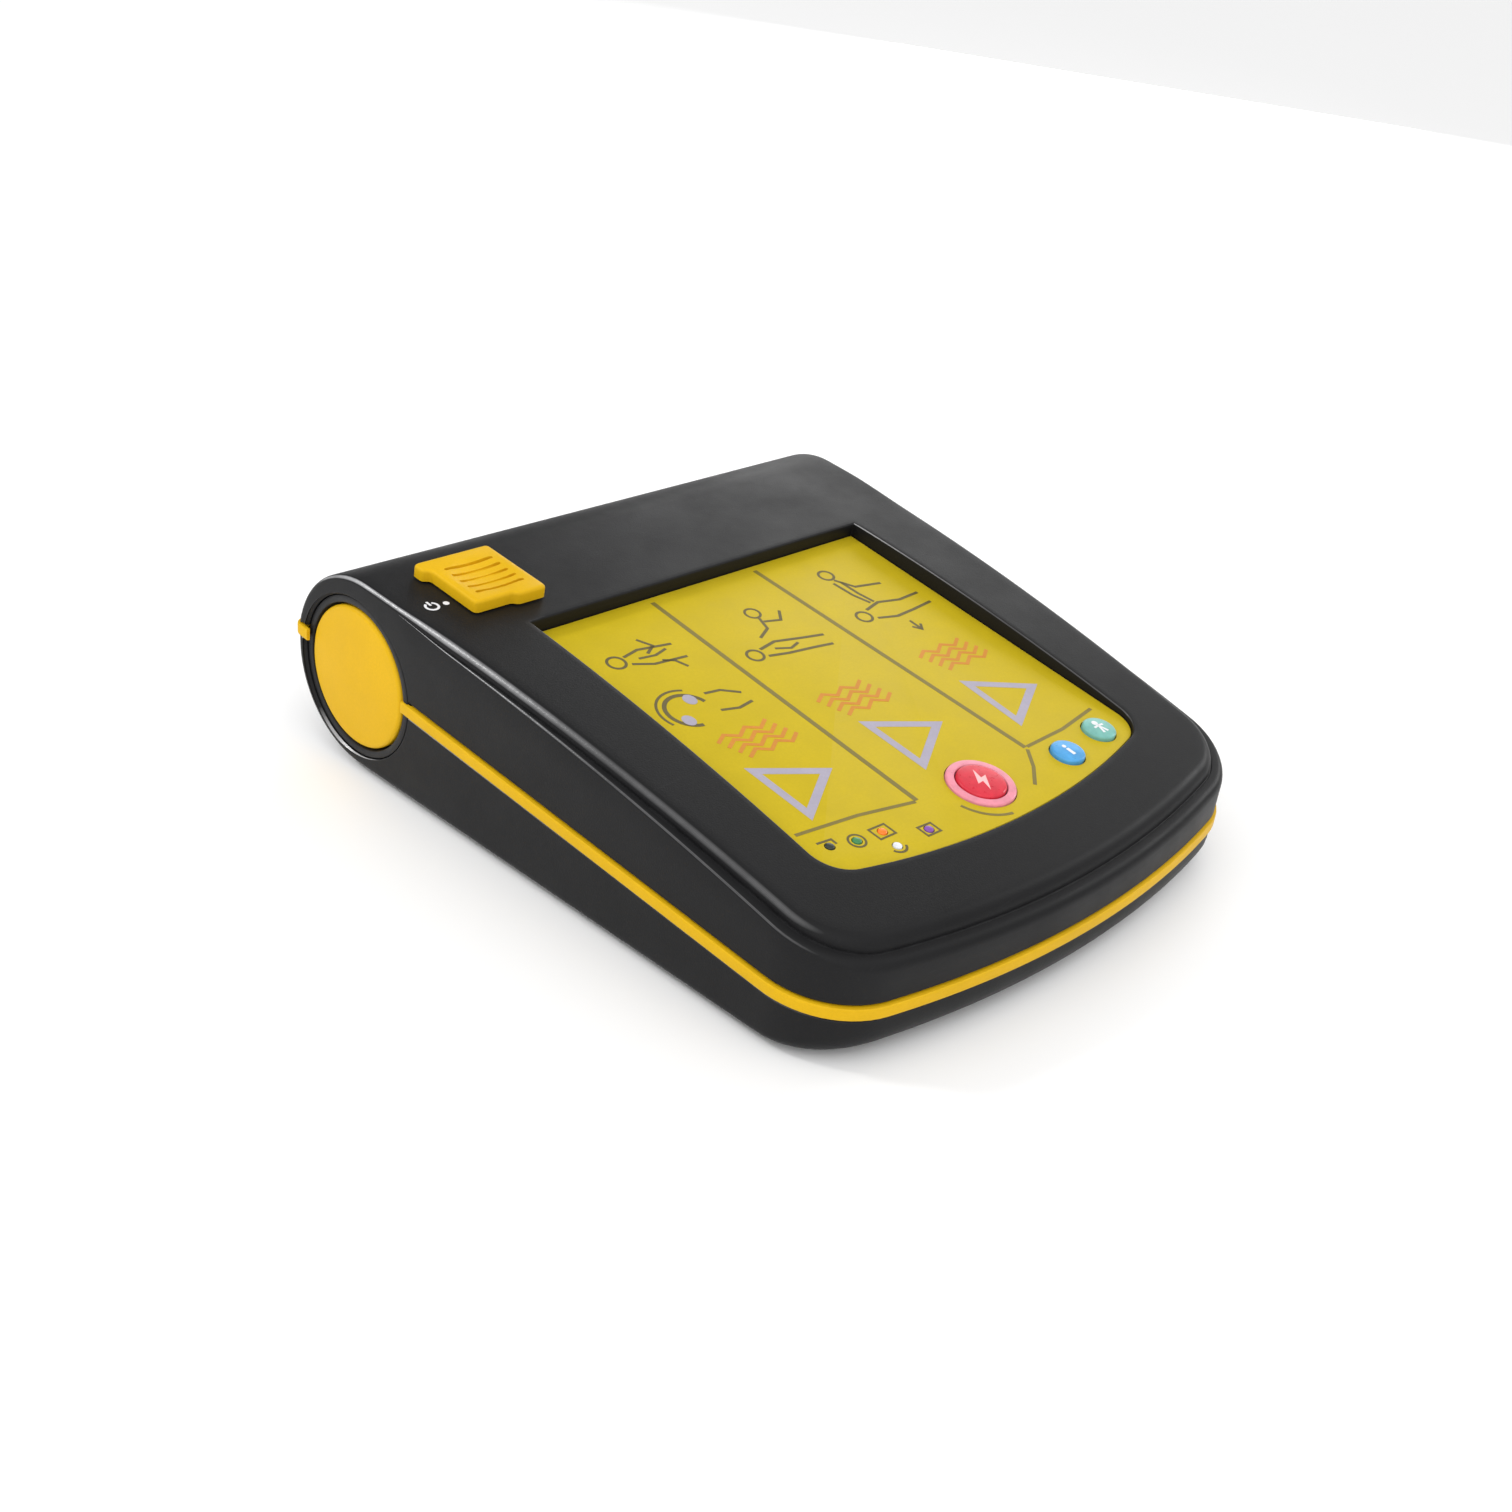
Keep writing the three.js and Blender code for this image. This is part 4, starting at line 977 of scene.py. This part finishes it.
# small frames beside the status lamps
stroke([(-75, -81), (-69, -81.7), (-69, -84.2)], 0.9)
arc(-62, -86.5, 3.0, 0, 360, 0.8)
stroke([(-54.6, -84.6), (-47.6, -84.9), (-47.4, -90.2), (-54.4, -90)], 0.8, True)
arc(-52, -95, 3.1, 200, 340, 0.9)
stroke([(-39, -92), (-33, -92.4), (-32.8, -97), (-38.8, -96.8)], 0.8, True)
figures.done("print_figures", dark_ink)

pads = Print(-0.05, 0.09)
pads.disc(-57.6, -3.4, 2.4, stretch=1.2)
pads.disc(-66.2, -12.4, 2.4, stretch=1.2)
pads.done("print_pads", lilac_ink)

# ---- keys, light ring and lamps
def key_profile(radius, crown):
    edge, top, flange = 0.9, 1.6, -2.8
    rim = [(radius - edge * (1 - cos(a)), top - edge * (1 - sin(a))) for a in quarter(7)]
    dome = [(r, top + crown * (1 - (r / (radius - edge)) ** 2)) for r in np.linspace(radius - edge, 0, 9)[1:]]
    dome[-1] = (0, top + crown)
    return [(0, -5), (2.6, -5), (2.6, flange), (radius, flange)] + rim + dome


for key, radius, crown, at, slot in (("shock", SHOCK_R, 0.3, SHOCK_AT, "button_red"),
                                     ("info", SMALL_R, 0.25, INFO_AT, "button_blue"),
                                     ("child", SMALL_R, 0.25, CHILD_AT, "button_teal")):
    piece(on_plane(key + "_dome", key_profile(radius, crown), at), slot, key + "_button", key + "_button")
inner_r, outer_r = RING_R[0] + 0.1, RING_R[1]
ring_profile = [(inner_r, -PANEL_THICK), (outer_r, -PANEL_THICK), (outer_r, 0.2)]
ring_profile += [(outer_r - 0.8 * (1 - cos(a)), 0.2 + 0.8 * sin(a)) for a in quarter(6)[1:]]
ring_profile += [(inner_r + 0.3, 1.0), (inner_r, 0.7), (inner_r, -PANEL_THICK)]
piece(on_plane("light_ring", ring_profile, SHOCK_AT), "ring_lens", "shock_light_ring")

LAMP_COLORS = ((0.03, 0.04, 0.03), (0.05, 0.22, 0.08), (0.90, 0.20, 0.02), (0.72, 0.74, 0.78),
               (0.22, 0.08, 0.40))
for number, (at, color) in enumerate(zip(LAMP_AT, LAMP_COLORS), 1):
    profile = [(0, -8.6), (LAMP_R, -8.6), (LAMP_R, 0.1)]
    profile += [(LAMP_R * cos(a), 0.1 + 0.5 * sin(a)) for a in quarter(7)[1:-1]]
    profile += [(0, 0.6)]
    skin = lens(f"lamp_lens_{number}", color, 0.1 if number in (2, 3) else 0.0)
    piece(on_plane(f"lamp_{number}", profile, at, 32), "lamp_lens", f"status_lamp_{number}", "housing", skin)


def key_mark(at, top):
    return PANEL_MATRIX @ Matrix.Translation((at[0] * MM, at[1] * MM, top * MM))


SHOCK_TOP, SMALL_TOP = 1.87, 1.83
pale_red = ink("ink_pale_red", (0.95, 0.50, 0.50))
bolt = Print(-0.25, 0.07)
bolt.patch([(1.4, 5.4), (-3.0, -0.9), (-0.4, -0.7), (-1.6, -5.2), (3.1, 1.2), (0.5, 0.9)])
bolt.done("shock_mark", pale_red, key_mark(SHOCK_AT, SHOCK_TOP), "button_red", "shock_button")
info = Print(-0.12, 0.06)
info.disc(0, 2.2, 0.8)
info.stroke([(0, 0.8), (0, -2.8)], 1.4)
info.done("info_mark", white_ink, key_mark(INFO_AT, SMALL_TOP), "button_blue", "info_button")
child = Print(-0.12, 0.06)
child.disc(0, 2.5, 1.2)
child.stroke([(-2.4, 0.6), (0, 0.9), (2.4, 0.6)], 0.9)
child.stroke([(-1.1, -3.0), (0, 0.6), (1.1, -3.0)], 1.0)
child.done("child_mark", white_ink, key_mark(CHILD_AT, SMALL_TOP), "button_teal", "child_button")

# ---- power slide
KNOB_TOP = 5.0


def rounded(outline, radius, steps=5):
    """Rounds every corner of an outline, convex or concave."""
    result = []
    count = len(outline)
    for i in range(count):
        p0, p1, p2 = (Vector(outline[(i + k) % count]) for k in (-1, 0, 1))
        a, b = (p0 - p1), (p2 - p1)
        reach = min(radius, a.length * 0.45, b.length * 0.45)
        start, end = p1 + a.normalized() * reach, p1 + b.normalized() * reach
        for k in range(steps + 1):
            t = k / steps
            result.append(tuple(start * (1 - t) ** 2 + p1 * 2 * t * (1 - t) + end * t ** 2))
    return result


knob_outline = rounded([(-14.2, -15.1), (1.5, -15.1), (3.4, -17.0), (15.4, -17.0), (15.4, 17.0),
                        (-17.0, 17.0), (-17.0, 11.4), (-14.2, 10.0)], 2.2)
knob = prism("slide_knob", knob_outline, 0.5, KNOB_TOP, 1.3, SLIDE_MATRIX)
foot = prism("knob_foot", rounded_rect(26, 24, 2.2, 0, 4), -1.7, 1.2, 0, SLIDE_MATRIX)
stem = prism("knob_stem", rounded_rect(6, 4, 1, 0, STEM_Y), -8.5, 0, 0, SLIDE_MATRIX)
cut(knob, [foot], "UNION")
cut(knob, [stem], "UNION")
dish = lathe("dish", [(0, -52)] + [(60 * sin(a), 8 - 60 * cos(a)) for a in np.linspace(0.02, 0.5, 12)]
             + [(0, 8 - 60 * cos(0.5))], "Z", (0.5, -0.5, KNOB_TOP + 50.8), 96)
cut(knob, [moved(dish, SLIDE_MATRIX)])
outlines = [rounded_rect(21, 1.5, 0.7, 0.5, step * 4.4 - 0.5) for step in range(-2, 3)]
cut(knob, [prism("groove", outline, KNOB_TOP - 1.5, KNOB_TOP + 2, 0, SLIDE_MATRIX) for outline in outlines])
piece(knob, "band_plastic", "power_slide", "power_slide")

switch_mark = Print(-0.08, 0.05)
switch_mark.arc(0, 0, 2.3, 120, 420, 0.9)
switch_mark.stroke([(0, 0.6), (0, 3.3)], 0.9)
switch_mark.disc(5.6, -0.4, 1.15)
switch_mark.done("switch_mark", white_ink, on_crown(-106.5, 74.5), "case_plastic")

# ---- battery, its bay and the electrode socket
def rounded_step(r0, x0, r1, x1, steps=5):
    """A quarter round from (r0, x0) to (r1, x1), leaving along the radius."""
    turn = [pi / 2 * i / steps for i in range(steps + 1)]
    return [(r0 + (r1 - r0) * sin(a), x0 + (x1 - x0) * (1 - cos(a))) for a in turn]


CAP_X, CAP_END = extent("battery_cap", 0)
FACE_R = CAP_R - 1.6
CAP_BULGE = 0.9
cap_profile = [(0, CAP_X - CAP_BULGE)]
cap_profile += [(r, CAP_X - CAP_BULGE * (1 - (r / FACE_R) ** 2)) for r in np.linspace(3, FACE_R, 9)]
cap_profile += rounded_step(FACE_R, CAP_X, CAP_R, CAP_X + 1.5, 6)[1:]
cap_profile += [(CAP_R, CAP_END - 4.3), (23.8, CAP_END - 4.3), (23.8, CAP_END), (0, CAP_END)]
piece(lathe("cap", cap_profile, "X", AXIS, 128), "band_plastic", "battery_cap", "battery")

X0, X1 = extent("battery_case", 0)
PACK_R, PACK_INNER = 25.9, 24.1
# the seal's groove, and two lines where the case's sections join
case_profile = [(PACK_INNER, X0), (PACK_R - 0.2, X0), (PACK_R, X0 + 0.3)]
case_profile += [(PACK_R, -104.2), (24.9, -104.2), (24.9, -101.6), (PACK_R, -101.6)]
for line in (-60.4, -14.4):
    case_profile += [(PACK_R, line), (25.3, line + 0.6), (25.3, line + 2.6), (PACK_R, line + 3.2)]
case_profile += [(PACK_R, X1 - 1.4), (24.5, X1), (14.6, X1), (14.6, X1 - 0.8), (9.4, X1 - 0.8), (9.4, X1)]
case_profile += [(0, X1), (0, X1 - 2), (PACK_INNER, X1 - 2), (PACK_INNER, X0)]
piece(lathe("pack_case", case_profile, "X", AXIS, 96), "inner_plastic", "battery_case", "battery")
seal = [(25.55 + 0.6 * cos(a), -102.9 + 0.95 * sin(a)) for a in np.linspace(0, 2 * pi, 17)]
seal[-1] = seal[0]
piece(lathe("seal_ring", seal, "X", AXIS, 96), "foot_rubber", "battery_seal", "battery")

MOUTH, END = extent("battery_sleeve", 0)
sleeve_profile = [(BAY_INNER, MOUTH + 0.8), (BAY_INNER + 0.25, MOUTH + 0.25), (BAY_INNER + 0.8, MOUTH),
                  (BAY_OUTER - 0.6, MOUTH), (BAY_OUTER - 0.15, MOUTH + 0.2), (BAY_OUTER, MOUTH + 0.6),
                  (BAY_OUTER, END), (4, END), (4, END - 2.5), (BAY_INNER, END - 2.5), (BAY_INNER, MOUTH + 0.8)]
sleeve = lathe("bay_sleeve", sleeve_profile, "X", AXIS, 128)
cut(sleeve, [lathe("contact_hole", rod(2.2, -6, 6), "X", (END, BAY_Y + y, BAY_Z), 24) for y in (-12, 12)])
piece(sleeve, "inner_plastic", "battery_sleeve")

S0, S1 = extent("electrode_socket", 0)
socket_profile = [(0, S0), (SOCKET_R - 0.5, S0), (SOCKET_R, S0 + 0.5), (SOCKET_R, S1 - 0.8)]
socket_profile += [(SOCKET_R - 0.8 + 0.8 * cos(a), S1 - 0.8 + 0.8 * sin(a)) for a in quarter(5)[1:]]
socket_profile += [(16.2, S1), (15.9, S1 - 0.5), (15.2, S1 - 0.5), (14.9, S1), (0, S1)]
socket = lathe("lead_socket", socket_profile, "X", AXIS, 96)
turn_to_x = Matrix(((0, 0, 1, 0), (1, 0, 0, 0), (0, 1, 0, 0), (0, 0, 0, 1)))
turn_to_x = Matrix.Translation(Vector(AXIS) * MM) @ turn_to_x
cut(socket, [prism("mouth", rounded_rect(24, 13, 2.4), SOCKET_FLOOR, 130, 0, turn_to_x)])
cut(socket, [prism("keyway", rounded_rect(4, 3, 0.5, 0, 7.2), SOCKET_FLOOR + 3, 130, 0, turn_to_x)])
cut(socket, [lathe("pin_hole", rod(1.9, -10, 6), "X", (SOCKET_FLOOR, BAY_Y + y, BAY_Z), 24) for y in (-6, 6)])
piece(socket, "inner_plastic", "electrode_socket")
for node in ("socket_pin_front", "socket_pin_rear"):
    (a, b), y = extent(node, 0), sum(extent(node, 1)) / 2
    pin_profile = [(0, a), (1.6, a), (1.6, b - 1.2), (1.35, b - 0.5), (0.8, b - 0.1), (0, b)]
    piece(lathe(node + "_tip", pin_profile, "X", (0, y, BAY_Z), 24), "contact_metal", node)

# ---- feet and screws
for number, (x, y) in enumerate(FOOT_AT, 1):
    top = extent(f"rubber_foot_{number}", 2)[1]
    profile = [(0, 0.5), (3.4, 0.5), (3.8, 0.0), (5.0, 0.0), (5.4, 0.35), (5.9, 0.35), (6.3, 0.0), (7.0, 0.0)]
    profile += [(7.0 + sin(a), 1.0 - cos(a)) for a in quarter(6)[1:]] + [(8.0, top), (0, top)]
    piece(lathe(f"foot_{number}", profile, "Z", (x, y, 0), 64), "foot_rubber", f"rubber_foot_{number}")
for number, (x, y) in enumerate(SCREW_AT, 1):
    base, tip = extent(f"case_screw_{number}", 2)
    profile = [(0, base), (2.5, base), (2.95, base + 0.2), (3.1, base + 0.6), (3.1, base + 2.4)]
    profile += [(1.4, base + 2.4), (1.4, tip - 1.5), (0.4, tip), (0, tip)]
    screw = lathe(f"screw_{number}", profile, "Z", (x, y, 0), 40)
    cross = [rounded_rect(3.6, 0.8, 0.2, x, y), rounded_rect(0.8, 3.6, 0.2, x, y)]
    cut(screw, [prism("cross", outline, base - 1, base + 1.3) for outline in cross])
    piece(screw, "steel", f"case_screw_{number}")

# ---- materials of the carried-over nodes
slot_of = {part["node"]: part["material_slot"] for part in frame["record"]["subparts"]}
for name, node in nodes.items():
    for slot in node.material_slots:
        slot.link = "OBJECT"
        slot.material = SLOT_SKIN[slot_of[name]]

# ---- stage, light and camera
def area_light(name, place, target, size, power):
    data = bpy.data.lights.new(name, "AREA")
    data.shape = "DISK"
    data.size = size
    data.energy = power
    light = new_object(name, data)
    light.location = place
    light.rotation_euler = (Vector(target) - Vector(place)).to_track_quat("-Z", "Y").to_euler()


floor_mesh = bpy.data.meshes.new("floor")
floor_mesh.from_pydata([(-9, -9, 0), (9, -9, 0), (9, 9, 0), (-9, 9, 0)], [], [(0, 1, 2, 3)])
floor = new_object("floor", floor_mesh)
floor_paint = Paint("floor")
floor_paint.put("Base Color", (0.93, 0.93, 0.93, 1))
floor_paint.put("Roughness", 0.75)
floor_paint.put("Specular IOR Level", 0.05)
floor.data.materials.append(floor_paint.material)

# a big soft source above and behind the viewer's left shoulder, darker away from it
SKY, SKY_BRIGHT = (0.25, 1.6), (-0.45, -0.45, 0.77)
world = bpy.data.worlds.new("studio")
bpy.context.scene.world = world
world.use_nodes = True
sky = world.node_tree
sky.nodes["Background"].inputs["Color"].default_value = (1, 1, 1, 1)
toward = sky.nodes.new("ShaderNodeVectorMath")
toward.operation = "DOT_PRODUCT"
toward.inputs[1].default_value = Vector(SKY_BRIGHT).normalized()
sky.links.new(sky.nodes.new("ShaderNodeTexCoord").outputs["Generated"], toward.inputs[0])
ramp = sky.nodes.new("ShaderNodeMapRange")
for key, value in ((1, 0.0), (2, 1.0), (3, SKY[0]), (4, SKY[1])):
    ramp.inputs[key].default_value = value
sky.links.new(toward.outputs["Value"], ramp.inputs[0])
sky.links.new(ramp.outputs[0], sky.nodes["Background"].inputs["Strength"])
bpy.context.scene.view_settings.view_transform = "Standard"
area_light("key", (-0.9, -0.8, 1.3), (0, 0, 0.03), 0.9, 1.6)
area_light("edge", (-0.80, 0.88, 0.98), (-0.11, 0.08, 0.06), 0.2, 5)
area_light("right", (1.3, -0.3, 0.6), (0, 0, 0.03), 0.4, 4)
area_light("back", (1.40, 0.80, 0.50), (0.02, 0.02, 0.06), 1.2, 8.5)

AZIMUTH, ELEVATION, ROLL = radians(-48.96), radians(29.65), radians(7.55)
LOOK_AT, DISTANCE, SHIFT_X, SHIFT_Y = (0, 0, 0.0378), 0.6805, -0.01332, -0.01855
LENS, SENSOR = 44.70, 36
back_axis = Vector((sin(AZIMUTH) * cos(ELEVATION), -cos(AZIMUTH) * cos(ELEVATION), sin(ELEVATION)))
level = Vector((cos(AZIMUTH), sin(AZIMUTH), 0))
upright = back_axis.cross(level)
right_axis = level * cos(ROLL) + upright * sin(ROLL)
up_axis = upright * cos(ROLL) - level * sin(ROLL)
camera_data = bpy.data.cameras.new("camera")
camera_data.lens = LENS
camera_data.sensor_width = SENSOR
camera = new_object("camera", camera_data)
place = Vector(LOOK_AT) + back_axis * DISTANCE + right_axis * SHIFT_X + up_axis * SHIFT_Y
axes = Matrix((right_axis, up_axis, back_axis)).transposed().to_4x4()
camera.matrix_world = Matrix.Translation(place) @ axes
bpy.context.scene.camera = camera
